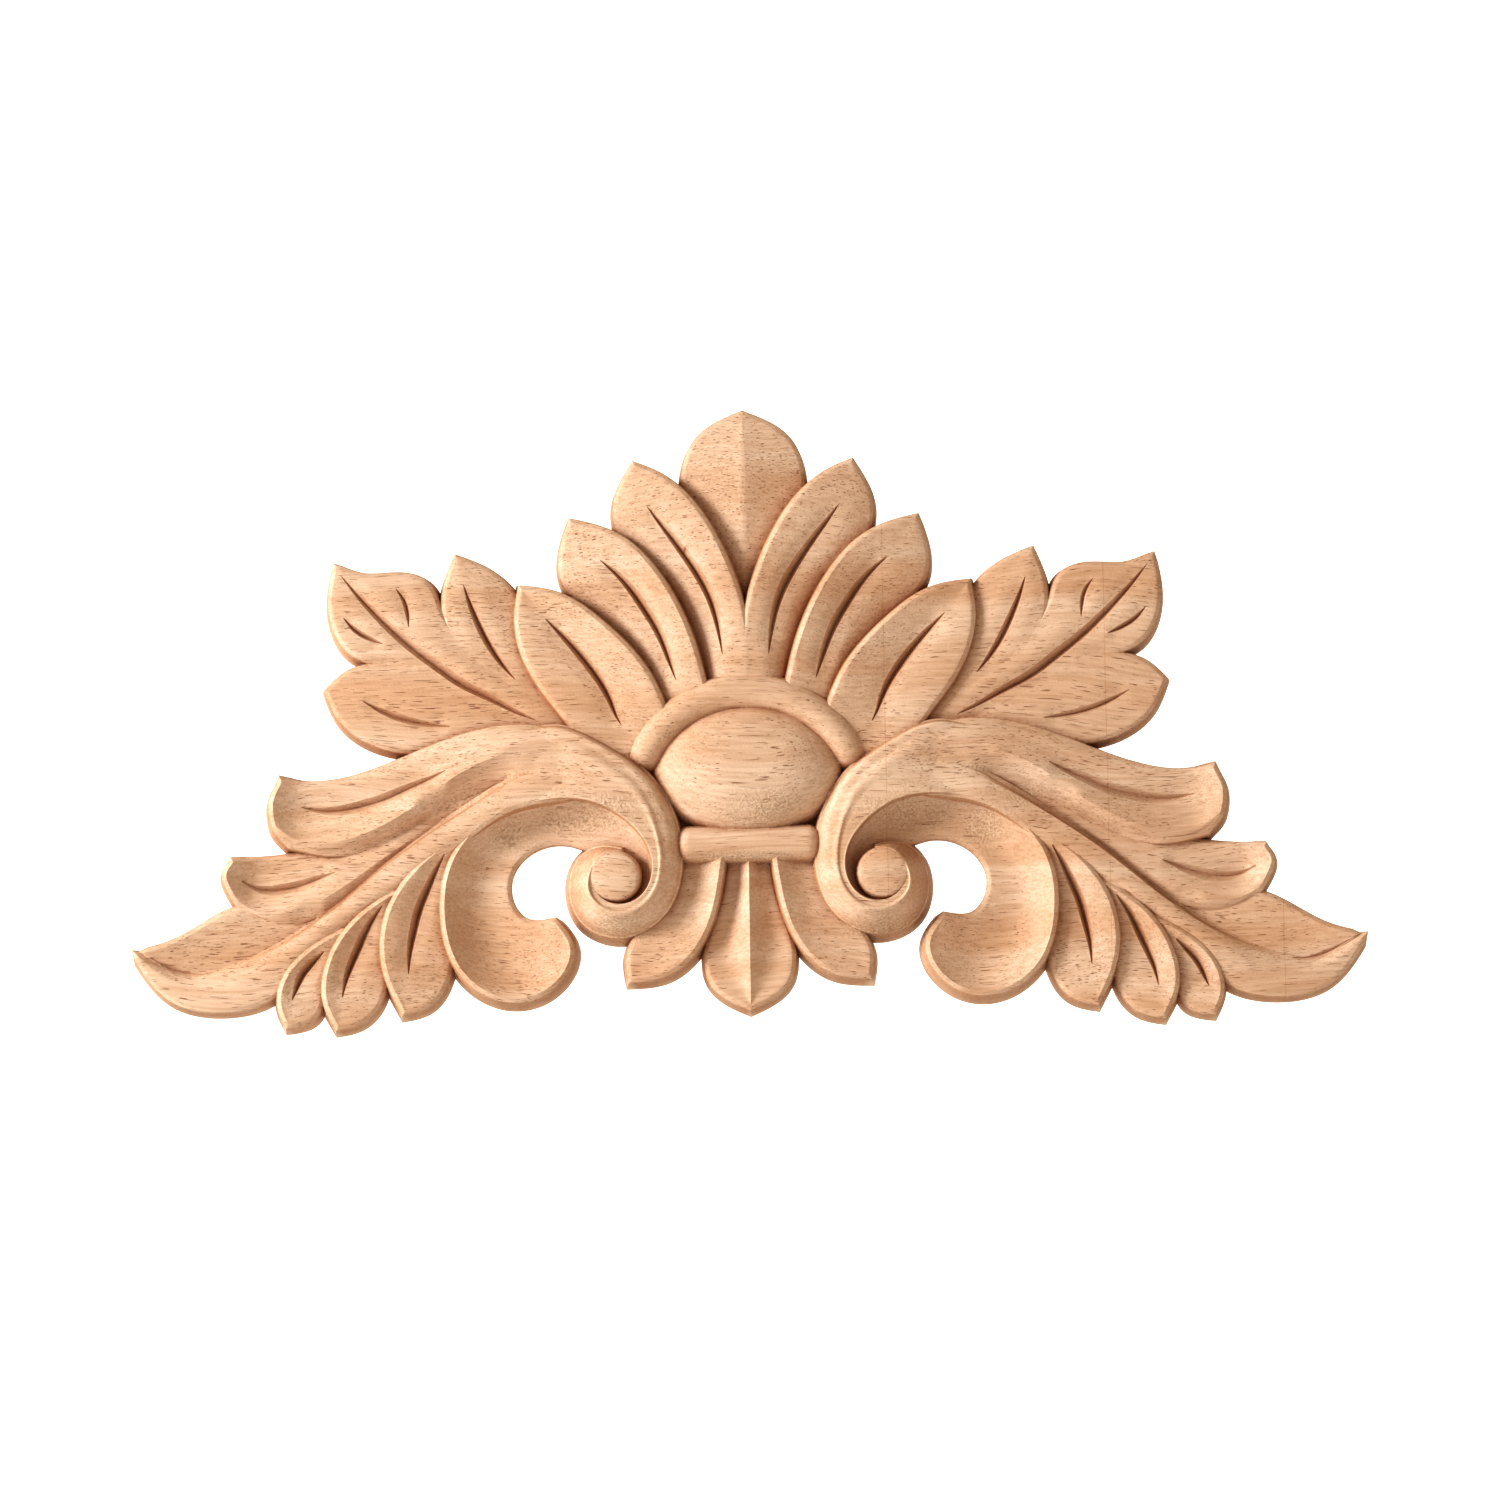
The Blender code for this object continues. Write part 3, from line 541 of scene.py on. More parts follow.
scrollBand = {
    "lines": [
        [(-56, 11, 9.4), (-46, 12.6, 10.8), (-34, 7.8, 11), (-23.9, 0.4, 10.8), (-17.6, -10.5, 10.4),
         (-16.4, -22, 10.2), (-20.4, -33, 9.4), (-30.5, -38.5, 8), (-40.6, -34.6, 6.8),
         (-43.2, -25.5, 6.4), (-41.6, -20.4, 6.6), (-38.4, -17.4, 7), (-34.5, -16.8, 8.6),
         (-31, -17.6, 10.5)],
        [(-57, 8.6, 11.2), (-46, 9.4, 13), (-35, 4.6, 13.5), (-26.2, -3, 13.7), (-21.4, -14, 13.8),
         (-21.2, -26, 13.7), (-26.3, -32.9, 13.6), (-34.2, -33.6, 13.4), (-39.1, -28.5, 13.2),
         (-38.8, -23, 13), (-36.8, -19.8, 12.7), (-33.8, -18.3, 12.6), (-31, -18.1, 12.2)],
        [(-49, 1.5, 11.8), (-35, -0.8, 13.8), (-26.4, -8, 13.9), (-22.2, -18, 13.9), (-23.4, -27.5, 13.8),
         (-29, -32.2, 13.6), (-35.6, -31, 13.4), (-38.3, -27, 13.2), (-37.6, -23, 13),
         (-35.7, -20.5, 12.8), (-33.2, -19.1, 12.8), (-31, -18.7, 12.4)],
        [(-57, -7.2, 11.8), (-47, -5.2, 13.3), (-36, -6.6, 14), (-26.8, -13.2, 14), (-23.1, -21, 14),
         (-25.3, -28.7, 13.9), (-31.5, -31.4, 13.6), (-36.9, -28, 13.2), (-36.4, -23.6, 13),
         (-34.9, -21.2, 12.9), (-32.9, -19.9, 12.9), (-31, -19.4, 12.6)],
    ],
    "swell": (1.5, 0.2, 0),
    "walls": (1.0, 0.5),
    "wear": (0.35, 0.15),
}
forms.append(carveForm("scrollBand", scrollBand))

# the leaves under the bar
footLeafSide = {
    "lines": [
        [(-16, -14, 7.6), (-19.5, -27, 7.4), (-25.6, -36.8, 7.8), (-28.8, -43.5, 8.4)],
        [(-11, -14, 8.3), (-14, -28.5, 8), (-20.8, -39.6, 8.3)],
        [(-6, -14, 11), (-7.9, -27.6, 10.8), (-12.1, -39.8, 10), (-20.6, -47.5, 9.2)],
    ],
    "tip": (-28.4, -48.7, 8.6),
}
forms.append(carveForm("footLeafSide", footLeafSide))

footLeaf = {
    "lines": [
        [(-4.5, -14, 6.6), (-6.2, -29.6, 6.6), (-9.9, -42, 7.2), (-8.9, -49.6, 7.7)],
        [(-2.6, -14, 7.4), (-3.4, -29.6, 7), (-5, -44, 7.3)],
        [(0, -14, 10), (0, -32, 9.8), (0, -47, 9.3)],
    ],
    "tip": (0, -55.8, 8.1),
    "bothHalves": True,
}
forms.append(carveForm("footLeaf", footLeaf))
print("forms made:", len(forms))


def evaluated(shape):
    bpy.context.view_layer.update()
    graph = bpy.context.evaluated_depsgraph_get()
    return bpy.data.meshes.new_from_object(shape.evaluated_get(graph))


def combine(body, others, operation):
    # joins the others to the body, or cuts them out of it
    for other in others:
        step = body.modifiers.new(other.name, "BOOLEAN")
        step.operation = operation
        step.object = other
        step.solver = "MANIFOLD"
    mesh = evaluated(body)
    body.modifiers.clear()
    body.data = mesh
    for other in others:
        bpy.data.objects.remove(other)


half = forms[0]
combine(half, forms[1:], "UNION")
print("joined:", len(half.data.polygons), "faces")

# veins, cut with a V tool: points (x, z), then the widest width and the depth
veins = {
    "fan1": {"points": [(-23.4, 66.3), (-20.4, 62.2), (-17.3, 58.1), (-13.8, 53.1), (-10.7, 48),
                        (-8.6, 43.5), (-6.6, 36), (-5.6, 29.4)], "width": 2.2, "depth": 2.0},
    "fan2": {"points": [(-35, 53.2), (-31, 49.7), (-27.5, 45.6), (-24.5, 41.1), (-21.6, 36.1),
                        (-19.5, 31), (-18, 26.5), (-17, 23.4)], "width": 2.2, "depth": 2.0},
    "fan3": {"points": [(-48.5, 39), (-45, 35.5), (-41.5, 31.7), (-38, 27.3), (-35, 22.8), (-32.8, 18.3),
                        (-31, 13.8), (-30.3, 12.6)], "width": 2.2, "depth": 2.0},
    "sideRib": {"points": [(-98.2, 50.7), (-95, 46.7), (-91, 42.2), (-86.5, 37.6), (-81, 32.6),
                           (-75, 27.9), (-69, 23.5), (-62, 19.8), (-56, 16.5), (-51, 14.2)],
                "width": 2.5, "depth": 2.0},
    "sideTip1": {"points": [(-84.8, 47.1), (-83, 44.6), (-82, 41.3), (-81.7, 37.6)],
                 "width": 1.3, "depth": 1.1},
    "sideTip2": {"points": [(-97.5, 40.1), (-95, 37.3), (-92, 35.3), (-88, 33.5)],
                 "width": 1.4, "depth": 1.3},
    "sideUpper": {"points": [(-68.3, 47.8), (-67, 43.8), (-65, 38.8), (-62, 32.7), (-59, 28.1),
                             (-56, 24.4)], "width": 2.0, "depth": 1.8},
    "sideLower": {"points": [(-93, 19.7), (-89, 17.5), (-84, 15.4), (-79, 14.1), (-72, 13.1)],
                  "width": 1.8, "depth": 1.3},
    "lobe1": {"points": [(-108, -6), (-103, -6.9), (-98, -6.8), (-93, -5.8), (-88, -4.4), (-83, -2.3),
                         (-78, -0.3), (-73, 2)], "width": 2.8, "depth": 1.8},
    "lobe2": {"points": [(-122.5, -23.7), (-118.5, -25.5), (-115, -25.9), (-110, -25.2), (-106, -24),
                         (-103, -22.9), (-100, -21.9)], "width": 2.6, "depth": 1.6},
    "tip": {"points": [(-144.6, -42), (-143, -43), (-140, -44.5), (-136, -45.8), (-131, -46)],
            "width": 1.1, "depth": 0.7},
    "leaf1": {"points": [(-110.6, -52.8), (-109.3, -49.4), (-107.8, -46.4), (-105.5, -43.8),
                         (-102.8, -41.2)],
              "width": 2.0, "depth": 1.8},
    "leaf2": {"points": [(-98.4, -52.3), (-97.5, -47.9), (-96, -43.9), (-94, -39.4), (-91.5, -34.4),
                         (-88.6, -30.4)],
              "width": 2.1, "depth": 1.9},
    "leaf3": {"points": [(-82.4, -47), (-82, -41.4), (-81, -36.4), (-79.5, -30.9), (-77.8, -26.9),
                         (-75.5, -21.9), (-73.4, -18.2)], "width": 2.2, "depth": 2.0},
}


clearOfFace = 100.0    # rays towards the carving start this far in front of the back

# the V blade: how far it stands out of the wood, how it thins at its ends, and how its height is evened
blade = {"step": 1.0, "fewestSteps": 12, "above": 1.4, "thinnest": 0.05, "taper": 0.65, "evenOver": 5}


def veinCutter(name, vein, surface):
    # a V blade along the vein, its depth taken from the surface it cuts
    steps = max(blade["fewestSteps"], round(lengthOf(vein["points"]) / blade["step"]))
    path = smoothLine([(x, z, 0) for x, z in vein["points"]], steps + 1)[:, :2]
    ahead = np.gradient(path, axis=0)
    ahead /= np.linalg.norm(ahead, axis=1)[:, None]
    inward = Vector((0, 1, 0))
    found = [-surface.ray_cast(place(x, z, clearOfFace), inward)[0].y / mm for x, z in path]
    padded = np.pad(found, blade["evenOver"] // 2, mode="edge")
    heights = np.convolve(padded, np.ones(blade["evenOver"]) / blade["evenOver"], mode="valid")
    sections = []
    for k, ((x, z), (dx, dz), height) in enumerate(zip(path, ahead, heights)):
        fullness = max(blade["thinnest"], math.sin(math.pi * k / steps) ** blade["taper"])
        depth = vein["depth"] * fullness
        top = height + blade["above"]
        reach = vein["width"] / 2 * fullness * (depth + blade["above"]) / depth
        sections.append([
            place(x + dz * reach, z - dx * reach, top),
            place(x, z, height - depth),
            place(x - dz * reach, z + dx * reach, top),
        ])
    return sweep("vein_" + name, sections)


# places where one form runs softly into the next: centre (x, z), reach, and rounds of smoothing
blends = [
    {"at": (-51, 3), "reach": 9, "rounds": 20},
    {"at": (-38.3, -22.6), "reach": 4.4, "rounds": 14},
    {"at": (-79, 28.5), "reach": 8, "rounds": 16},
    {"at": (-69.5, 32), "reach": 6, "rounds": 14},
    {"at": (-71.5, 24.5), "reach": 7, "rounds": 14},
    {"at": (-63.5, 20), "reach": 6, "rounds": 14},
    {"at": (-76, -4.5), "reach": 4.5, "rounds": 12},
    {"at": (-106, -31), "reach": 4, "rounds": 10},
]


def blendForms(body):
    # heights alone are smoothed, over a reach that shrinks by half as the rounds go
    soft = bmesh.new()
    soft.from_mesh(body.data)
    bmesh.ops.triangulate(soft, faces=soft.faces)
    for blend in blends:
        x, z = blend["at"]
        for k in range(blend["rounds"]):
            reach = blend["reach"] * (1 - 0.5 * k / blend["rounds"])
            near = [v for v in soft.verts if math.hypot(v.co.x / mm - x, v.co.z / mm - z) < reach
                    and v.co.y < -board["faceAbove"] * mm]
            bmesh.ops.smooth_vert(
                soft, verts=near, factor=0.5, use_axis_x=False, use_axis_y=True, use_axis_z=False,
            )
    soft.to_mesh(body.data)
    soft.free()


# banks beside a vein of the stated width and depth or more, and less beside a smaller one
bank = {"reach": 4.2, "depth": 0.55, "ends": 0.12, "veinWidth": 1.9, "veinDepth": 1.8, "stations": 60}


def sinkBanks(body):
    # the wood falls softly towards each vein
    at = np.array([v.co for v in body.data.vertices]) / mm
    down = np.zeros(len(at))
    for vein in veins.values():
        path = smoothLine([(x, z, 0) for x, z in vein["points"]], bank["stations"])[:, :2]
        away = np.linalg.norm(at[:, None, [0, 2]] - path[None], axis=2)
        nearest = np.argmin(away, axis=1)
        share = nearest / (len(path) - 1)
        ends = np.clip(np.minimum(share, 1 - share) / bank["ends"], 0, 1)
        reach = bank["reach"] * min(1.0, vein["width"] / bank["veinWidth"])
        close = np.clip(1 - away[np.arange(len(at)), nearest] / reach, 0, 1)
        depth = bank["depth"] * min(1.0, vein["depth"] / bank["veinDepth"])
        down = np.maximum(down, depth * close**2 * (3 - 2 * close) * ends)
    front = at[:, 1] < -board["faceAbove"]
    for vertex, amount in zip(body.data.vertices, down * front):
        vertex.co.y += amount * mm


blendForms(half)
sinkBanks(half)
surface = BVHTree.FromObject(half, bpy.context.evaluated_depsgraph_get())
cutters = [veinCutter(name, vein, surface) for name, vein in veins.items()]
combine(half, cutters, "DIFFERENCE")
print("veins cut:", len(veins))

# the back is sawn flat, by a block that is wider and taller than the piece
sawBlock = Vector((0.4, 0.02, 0.3))
saw = bmesh.new()
bmesh.ops.create_cube(saw, size=1.0)
bmesh.ops.scale(saw, vec=sawBlock, verts=saw.verts)
bmesh.ops.translate(saw, vec=(0, sawBlock.y / 2, 0), verts=saw.verts)
combine(half, [toObject(saw, "saw")], "DIFFERENCE")

# the other half is its mirror image
whole = bmesh.new()
whole.from_mesh(half.data)
bpy.data.objects.remove(half)
everything = whole.verts[:] + whole.edges[:] + whole.faces[:]
middle = bmesh.ops.bisect_plane(
    whole, geom=everything, dist=board["weld"] * mm, plane_co=(0, 0, 0), plane_no=(1, 0, 0),
    use_snap_center=True, clear_outer=True,
)["geom_cut"]
for vertex in (g for g in middle if isinstance(g, bmesh.types.BMVert)):
    vertex.co.x = 0.0
bmesh.ops.remove_doubles(whole, verts=whole.verts, dist=board["sliver"] * mm)
bmesh.ops.dissolve_degenerate(whole, dist=board["sliver"] * mm, edges=whole.edges)
bmesh.ops.triangulate(whole, faces=whole.faces)
everything = whole.verts[:] + whole.edges[:] + whole.faces[:]
bmesh.ops.mirror(whole, geom=everything, matrix=Matrix.Identity(4), merge_dist=board["mirrorWeld"] * mm,
                 axis="X")
bmesh.ops.recalc_face_normals(whole, faces=whole.faces)

# hand finishing left the faces a little uneven
for vertex in whole.verts:
    if vertex.co.y < -board["backSkin"] * mm:
        at = vertex.co / (board["unevenSize"] * mm)
        finer, share = board["fineUneven"]
        amount = noise.noise(at) + share * noise.noise(at * finer)
        vertex.co += vertex.normal * amount * board["unevenness"] * mm

whole.normal_update()
openEdges = sum(len(e.link_faces) != 2 for e in whole.edges)
print("open edges:", openEdges, "triangles:", len(whole.faces))


# what the rays from each point look for: side, how far they go, how many they are, where they start
looks = {
    # the first look finds wood in front, for the painted shade in the hollows
    "hollowShade": {"side": 1, "reach": 7.0, "rays": 18, "skin": 0.06},
    # the second look finds air behind, for paler edges: wear and a painted highlight
    "wornAndLit": {"side": -1, "reach": 2.2, "rays": 12, "skin": 0.06},
}


def nearness(bm, side, reach, rays, skin):
    # for each vertex, how near other wood is in front of it (side 1), or the air behind it (side -1)
    tree = BVHTree.FromBMesh(bm)
    golden = math.pi * (3 - math.sqrt(5))
    fan = []
    for k in range(rays):
        up = math.sqrt(1 - (k + 0.5) / rays)
        out = math.sqrt(1 - up * up)
        fan.append(Vector((out * math.cos(k * golden), out * math.sin(k * golden), up)))
    found = np.zeros(len(bm.verts))
    for i, vertex in enumerate(bm.verts):
        normal = vertex.normal * side
        start = vertex.co + normal * skin * mm
        turn = normal.to_track_quat("Z", "X").to_matrix()
        for ray in fan:
            distance = tree.ray_cast(start, turn @ ray, reach * mm)[3]
            if distance is not None:
                found[i] += 1 - distance / (reach * mm)
    return found / rays


# where the cutter tore the fibres: centre (x, z) and reach; a mirrored place is torn on both halves
torn = [
    {"at": (5, -8.5), "reach": (13, 5), "mirrored": False},
    {"at": (-40, -9), "reach": (16, 5.5), "mirrored": True},
    {"at": (-56, -13), "reach": (9, 6), "mirrored": True},
    {"at": (0, -20.3), "reach": (18, 2.2), "mirrored": False},
    {"at": (-33, -37), "reach": (11, 4), "mirrored": True},
    {"at": (-68, -5.4), "reach": (8, 3), "mirrored": True},
]
raggedness = {"size": 5.0, "amount": 0.5, "fadeFrom": 1.2}
wallFuzz = {"share": 0.8, "from": 0.45, "over": 0.3}    # by how far the surface turns off the front


def fuzziness(bm):
    # torn fibres in those places, and on the steep side walls
    found = np.zeros(len(bm.verts))
    for i, vertex in enumerate(bm.verts):
        x, z = vertex.co.x / mm, vertex.co.z / mm
        ragged = raggedness["amount"] * noise.noise(vertex.co / (raggedness["size"] * mm))
        steepness = 1 - abs(vertex.normal.y)
        wall = min(1.0, max(0.0, (steepness - wallFuzz["from"]) / wallFuzz["over"]))
        found[i] = wall * (wallFuzz["share"] + ragged)
        for patch in torn:
            across = -abs(x) if patch["mirrored"] else x
            out = math.hypot((across - patch["at"][0]) / patch["reach"][0],
                             (z - patch["at"][1]) / patch["reach"][1])
            found[i] = max(found[i], min(1.0, raggedness["fadeFrom"] - out + ragged))
    return np.clip(found, 0, 1)


# nearness of wood in front, painted into the colour as shade in the hollows
hollowShade = nearness(whole, **looks["hollowShade"])
# nearness of air behind, for pale worn edges with a painted highlight
wornAndLit = nearness(whole, **looks["wornAndLit"])
fuzz = fuzziness(whole)
print("hollows, worn edges and torn fibres found on", len(hollowShade), "points")

mesh = bpy.data.meshes.new("carvedApplique")
whole.to_mesh(mesh)
whole.free()
for name, values in (("hollowShade", hollowShade), ("wornAndLit", wornAndLit), ("fuzz", fuzz)):
    mesh.attributes.new(name, "FLOAT", "POINT").data.foreach_set("value", values.astype(np.float32))
mesh.shade_smooth()
mesh.set_sharp_from_angle(angle=math.radians(board["sharpAngle"]))
applique = bpy.data.objects.new("carvedApplique", mesh)
scene.collection.objects.link(applique)


# a scale is in cells per metre along X, Y and Z, and a stop is a place on a ramp with its colour
white = (1.0, 1.0, 1.0)
wood = {
    "roughness": 0.62,
    "lean": -2.0,                 # degrees the grain leans
    "drift": {"scale": (16, 12, 20), "detail": 1.0, "reach": 0.016},
    "bands": {"scale": (5, 60, 60), "lean": -4.0, "detail": 2.0, "distortion": 0.8,
              "stops": [(0.34, (0.70, 0.45, 0.292)), (0.64, (0.82, 0.622, 0.478))]},
    "grain": {"scale": (60, 1500, 1500), "detail": 3.0,
              "stops": [(0.3, (0.84, 0.77, 0.70)), (0.62, white)]},
    "pores": {"scale": (200, 5600, 5600), "detail": 0.0,
              "stops": [(0.715, white), (0.765, (0.38, 0.22, 0.13))]},
    "crowding": {"scale": (28, 70, 70), "detail": 2.0, "reach": 0.22},
    "poresByTurn": (0.15, 0.6, 0.85, 0.25),    # turned sideways from, to, and the share that shows
    "steepSides": (0.28, 0.62, 1.0, 0.0),      # turned to the front from, to, and the share of the darker steep-side colour
    # painted shade on the steep sides, with their end grain
    "steepShadeAndEndGrain": (0.74, 0.56, 0.41),
    "fingerJoints": (33.5, 87.2, 129.0),       # mm, where the strips of the board meet
    "jointWidth": 0.26,
    "jointColour": (0.90, 0.84, 0.78),
    # paler edges: wear, and a painted highlight on the rims
    "wornAndLitColour": (0.95, 0.77, 0.58),
    "wornAndLit": [(0.12, (0.0, 0.0, 0.0)), (0.40, (0.6, 0.6, 0.6))],
    # painted shade: the colour turns browner where wood stands close in front
    "hollowShade": [(0.06, white), (0.72, (0.45, 0.22, 0.07))],
    "fibres": {"scale": (1500, 1900, 1900), "detail": 2.0,
               "stops": [(0.36, (0.42, 0.24, 0.13)), (0.64, (0.84, 0.64, 0.46))]},
    "fuzz": [(0.1, (0.0, 0.0, 0.0)), (1.0, (0.5, 0.5, 0.5))],
    "bump": {"strength": 0.6, "distance": 0.00025, "fibres": 0.45, "fuzz": 2.0, "pores": 0.4,
             "grain": 0.2},
}


def rubberwood():
    made = bpy.data.materials.new("rawRubberwood")
    made.use_nodes = True
    tree = made.node_tree
    link = tree.links.new
    shader = tree.nodes["Principled BSDF"]
    shader.inputs["Roughness"].default_value = wood["roughness"]

    def node(kind, **values):
        fresh = tree.nodes.new(kind)
        for key, value in values.items():
            setattr(fresh, key, value)
        return fresh

    def feed(fresh, values):
        # each socket is linked, or set to a number or a colour
        for socket, value in values.items():
            if isinstance(value, bpy.types.NodeSocket):
                link(value, fresh.inputs[socket])
            elif isinstance(value, tuple):
                fresh.inputs[socket].default_value = (*value, 1)
            else:
                fresh.inputs[socket].default_value = value

    def calc(a, operation, b):
        fresh = node("ShaderNodeMath", operation=operation)
        feed(fresh, {0: a, 1: b})
        return fresh.outputs[0]

    def mixed(a, b, factor, mode="MIX"):
        fresh = node("ShaderNodeMix", data_type="RGBA", blend_type=mode)
        feed(fresh, {0: factor, 6: a, 7: b})
        return fresh.outputs[2]

    def ramp(value, stops):
        fresh = node("ShaderNodeValToRGB")
        for element, (position, colour) in zip(fresh.color_ramp.elements, stops):
            element.position = position
            element.color = (*colour, 1)
        link(value, fresh.inputs["Fac"])
        return fresh.outputs["Color"]

    def ranged(value, limits):
        # a straight run between two shares, held flat beyond the limits
        fresh = node("ShaderNodeMapRange")
        feed(fresh, dict(zip(("From Min", "From Max", "To Min", "To Max"), limits)))
        link(value, fresh.inputs["Value"])
        return fresh.outputs["Result"]

    def split(vector):
        fresh = node("ShaderNodeSeparateXYZ")
        link(vector, fresh.inputs[0])
        return fresh.outputs

    def noiseOf(pattern, vector, lean):
        mapping = node("ShaderNodeMapping")
        mapping.inputs["Scale"].default_value = pattern["scale"]
        mapping.inputs["Rotation"].default_value = (0, math.radians(lean), 0)
        link(vector, mapping.inputs["Vector"])
        fresh = node("ShaderNodeTexNoise")
        feed(fresh, {"Scale": 1.0, "Detail": pattern["detail"]})
        feed(fresh, {"Distortion": pattern.get("distortion", 0.0)})
        link(mapping.outputs["Vector"], fresh.inputs["Vector"])
        return fresh.outputs["Fac"]

    def attribute(name):
        return node("ShaderNodeAttribute", attribute_name=name).outputs["Fac"]

    # the grain runs along X and wanders a little up and down
    onPiece = node("ShaderNodeTexCoord").outputs["Object"]
    wander = calc(noiseOf(wood["drift"], onPiece, 0.0), "SUBTRACT", 0.5)
    lift = node("ShaderNodeCombineXYZ")
    link(calc(wander, "MULTIPLY", wood["drift"]["reach"]), lift.inputs["Z"])
    bent = node("ShaderNodeVectorMath", operation="ADD")
    link(onPiece, bent.inputs[0])
    link(lift.outputs["Vector"], bent.inputs[1])
    onGrain = bent.outputs["Vector"]

    # growth bands, fine grain lines, and the short dark pores, thicker in places
    lean = wood["lean"]
    bands = ramp(noiseOf(wood["bands"], onGrain, wood["bands"]["lean"]), wood["bands"]["stops"])
    grain = ramp(noiseOf(wood["grain"], onGrain, lean), wood["grain"]["stops"])
    crowd = calc(noiseOf(wood["crowding"], onGrain, lean), "SUBTRACT", 0.5)
    crowd = calc(crowd, "MULTIPLY", wood["crowding"]["reach"])
    poreField = calc(noiseOf(wood["pores"], onGrain, lean), "ADD", crowd)
    pores = ramp(poreField, wood["pores"]["stops"])
    colour = mixed(bands, grain, 1.0, "MULTIPLY")

    # fewer pores show on slopes that turn sideways, and the steep sides are darker: painted shade, with
    # the end grain they show
    facing = split(node("ShaderNodeNewGeometry").outputs["Normal"])
    sideways = calc(facing["X"], "ABSOLUTE", 0.0)
    frontal = calc(facing["Y"], "ABSOLUTE", 0.0)
    colour = mixed(colour, pores, ranged(sideways, wood["poresByTurn"]), "MULTIPLY")
    # painted shade on the steep sides
    colour = mixed(colour, wood["steepShadeAndEndGrain"], ranged(frontal, wood["steepSides"]), "MULTIPLY")

    # the strips of the board are finger jointed, and the joints show as faint lines
    across = split(onPiece)["X"]
    for at in wood["fingerJoints"]:
        seam = node("ShaderNodeMath", operation="COMPARE")
        feed(seam, {0: across, 1: at * mm, 2: wood["jointWidth"] / 2 * mm})
        colour = mixed(colour, wood["jointColour"], seam.outputs[0], "MULTIPLY")

    # worn edges are paler with a painted highlight, hollows are browner with painted shade, and torn
    # fibres darker with pale specks
    # paler worn edges, partly a painted highlight
    colour = mixed(colour, wood["wornAndLitColour"], ramp(attribute("wornAndLit"), wood["wornAndLit"]))
    # painted shade in the hollows
    colour = mixed(colour, ramp(attribute("hollowShade"), wood["hollowShade"]), 1.0, "MULTIPLY")
    speckle = noiseOf(wood["fibres"], onGrain, lean)
    fibres = ramp(speckle, wood["fibres"]["stops"])
    colour = mixed(colour, fibres, ramp(attribute("fuzz"), wood["fuzz"]))
    link(colour, shader.inputs["Base Color"])

    # the fibres, pores and grain are felt as well as seen
    depths = wood["bump"]
    roughBy = calc(calc(attribute("fuzz"), "MULTIPLY", depths["fuzz"]), "ADD", depths["fibres"])
    rough = calc(calc(speckle, "SUBTRACT", 0.5), "MULTIPLY", roughBy)
    poreDepth = calc(pores, "MULTIPLY", depths["pores"])
    fine = calc(poreDepth, "ADD", calc(grain, "MULTIPLY", depths["grain"]))
    bump = node("ShaderNodeBump")
    feed(bump, {"Strength": depths["strength"], "Distance": depths["distance"]})
    link(calc(rough, "ADD", fine), bump.inputs["Height"])
    link(bump.outputs["Normal"], shader.inputs["Normal"])
    return made


mesh.materials.append(rubberwood())
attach(applique, "root")
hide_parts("applique")
print("material set")


camera = {
    "lens": 135.0,
    "sensor": 36.0,
    "distance": 1.3706,      # metres
    "below": 7.0,            # degrees, the lens looks slightly up at the piece
    "roll": -0.88,
    "pictureSize": 1500,
    "originInPicture": (747.5, 780.0),    # pixels across and down
}
tilt = math.radians(camera["below"])
stand = Vector((0, -math.cos(tilt), -math.sin(tilt))) * camera["distance"]
lens = bpy.data.cameras.new("camera")
lens.lens = camera["lens"]
lens.sensor_width = camera["sensor"]
halfPicture = camera["pictureSize"] / 2
lens.shift_x = (halfPicture - camera["originInPicture"][0]) / camera["pictureSize"]
lens.shift_y = (camera["originInPicture"][1] - halfPicture) / camera["pictureSize"]
eyePoint = bpy.data.objects.new("camera", lens)
scene.collection.objects.link(eyePoint)
aim = (-stand).to_track_quat("-Z", "Y").to_matrix().to_4x4()
roll = Matrix.Rotation(math.radians(camera["roll"]), 4, "Z")
eyePoint.matrix_world = Matrix.Translation(stand) @ aim @ roll
scene.camera = eyePoint

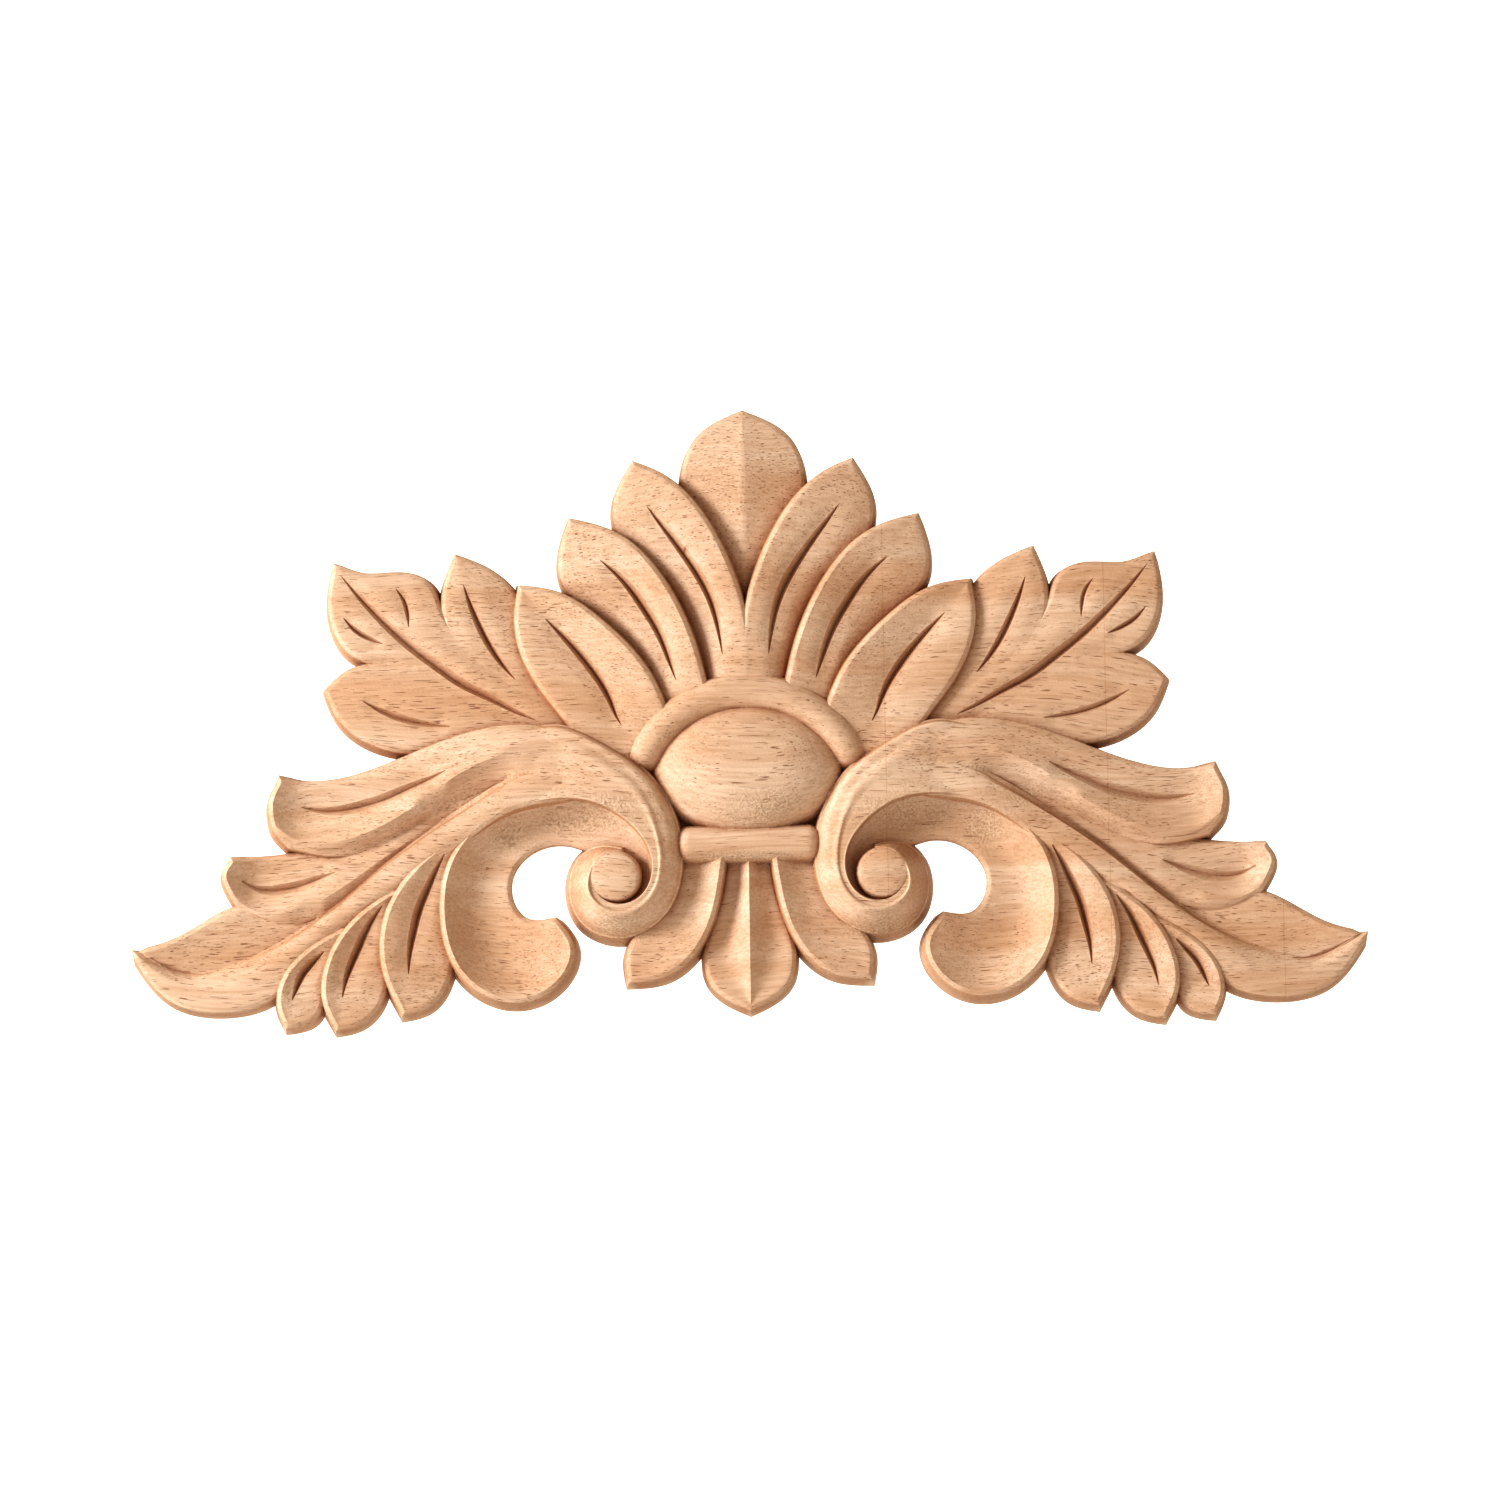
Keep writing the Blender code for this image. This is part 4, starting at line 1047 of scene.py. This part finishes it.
# places and sizes in metres, powers in watts
lights = {
    "key": {"at": (-1.15, -0.58, 0.38), "size": 0.4, "power": 23.0, "colour": (0.93, 0.98, 1.0)},
    "fill": {"at": (0.6, -1.4, -0.2), "size": 1.2, "power": 1.5, "colour": (1.0, 0.99, 0.97)},
}
surround = {"strength": 0.5, "colour": (1.0, 0.80, 0.59)}
viewGamma = 0.78


def areaLight(name, light):
    lamp = bpy.data.lights.new(name, "AREA")
    lamp.size = light["size"]
    lamp.energy = light["power"]
    lamp.color = light["colour"]
    made = bpy.data.objects.new(name, lamp)
    scene.collection.objects.link(made)
    at = Vector(light["at"])
    made.matrix_world = Matrix.Translation(at) @ (-at).to_track_quat("-Z", "Y").to_matrix().to_4x4()


for name, light in lights.items():
    areaLight(name, light)
world = bpy.data.worlds.new("surround")
scene.world = world
world.use_nodes = True
background = world.node_tree.nodes["Background"]
background.inputs["Color"].default_value = (*surround["colour"], 1)
background.inputs["Strength"].default_value = surround["strength"]
scene.view_settings.view_transform = "Standard"
scene.view_settings.gamma = viewGamma

# a pale floor and backdrop, in metres; the backdrop glows a little so that it stays even
stage = {"width": 6, "depth": 6, "height": 4, "floorAt": -0.45, "backdropAt": 2.6,
         "colour": (0.9, 0.9, 0.9), "roughness": 0.9, "glow": (1, 1, 1), "backdropGlow": 1.0}


def stagePlane(name, width, height, matrix, glow):
    plane = bmesh.new()
    bmesh.ops.create_grid(plane, x_segments=1, y_segments=1, size=0.5)
    bmesh.ops.scale(plane, vec=(width, height, 1), verts=plane.verts)
    bmesh.ops.transform(plane, matrix=matrix, verts=plane.verts)
    made = toObject(plane, name)
    paint = bpy.data.materials.new(name)
    paint.use_nodes = True
    shader = paint.node_tree.nodes["Principled BSDF"]
    shader.inputs["Base Color"].default_value = (*stage["colour"], 1)
    shader.inputs["Roughness"].default_value = stage["roughness"]
    shader.inputs["Emission Color"].default_value = (*stage["glow"], 1)
    shader.inputs["Emission Strength"].default_value = glow
    made.data.materials.append(paint)


stagePlane("floor", stage["width"], stage["depth"], Matrix.Translation((0, 0, stage["floorAt"])), 0.0)
upright = Matrix.Translation((0, stage["backdropAt"], 0)) @ Matrix.Rotation(math.pi / 2, 4, "X")
stagePlane("backdrop", stage["width"], stage["height"], upright, stage["backdropGlow"])
print("stage set")
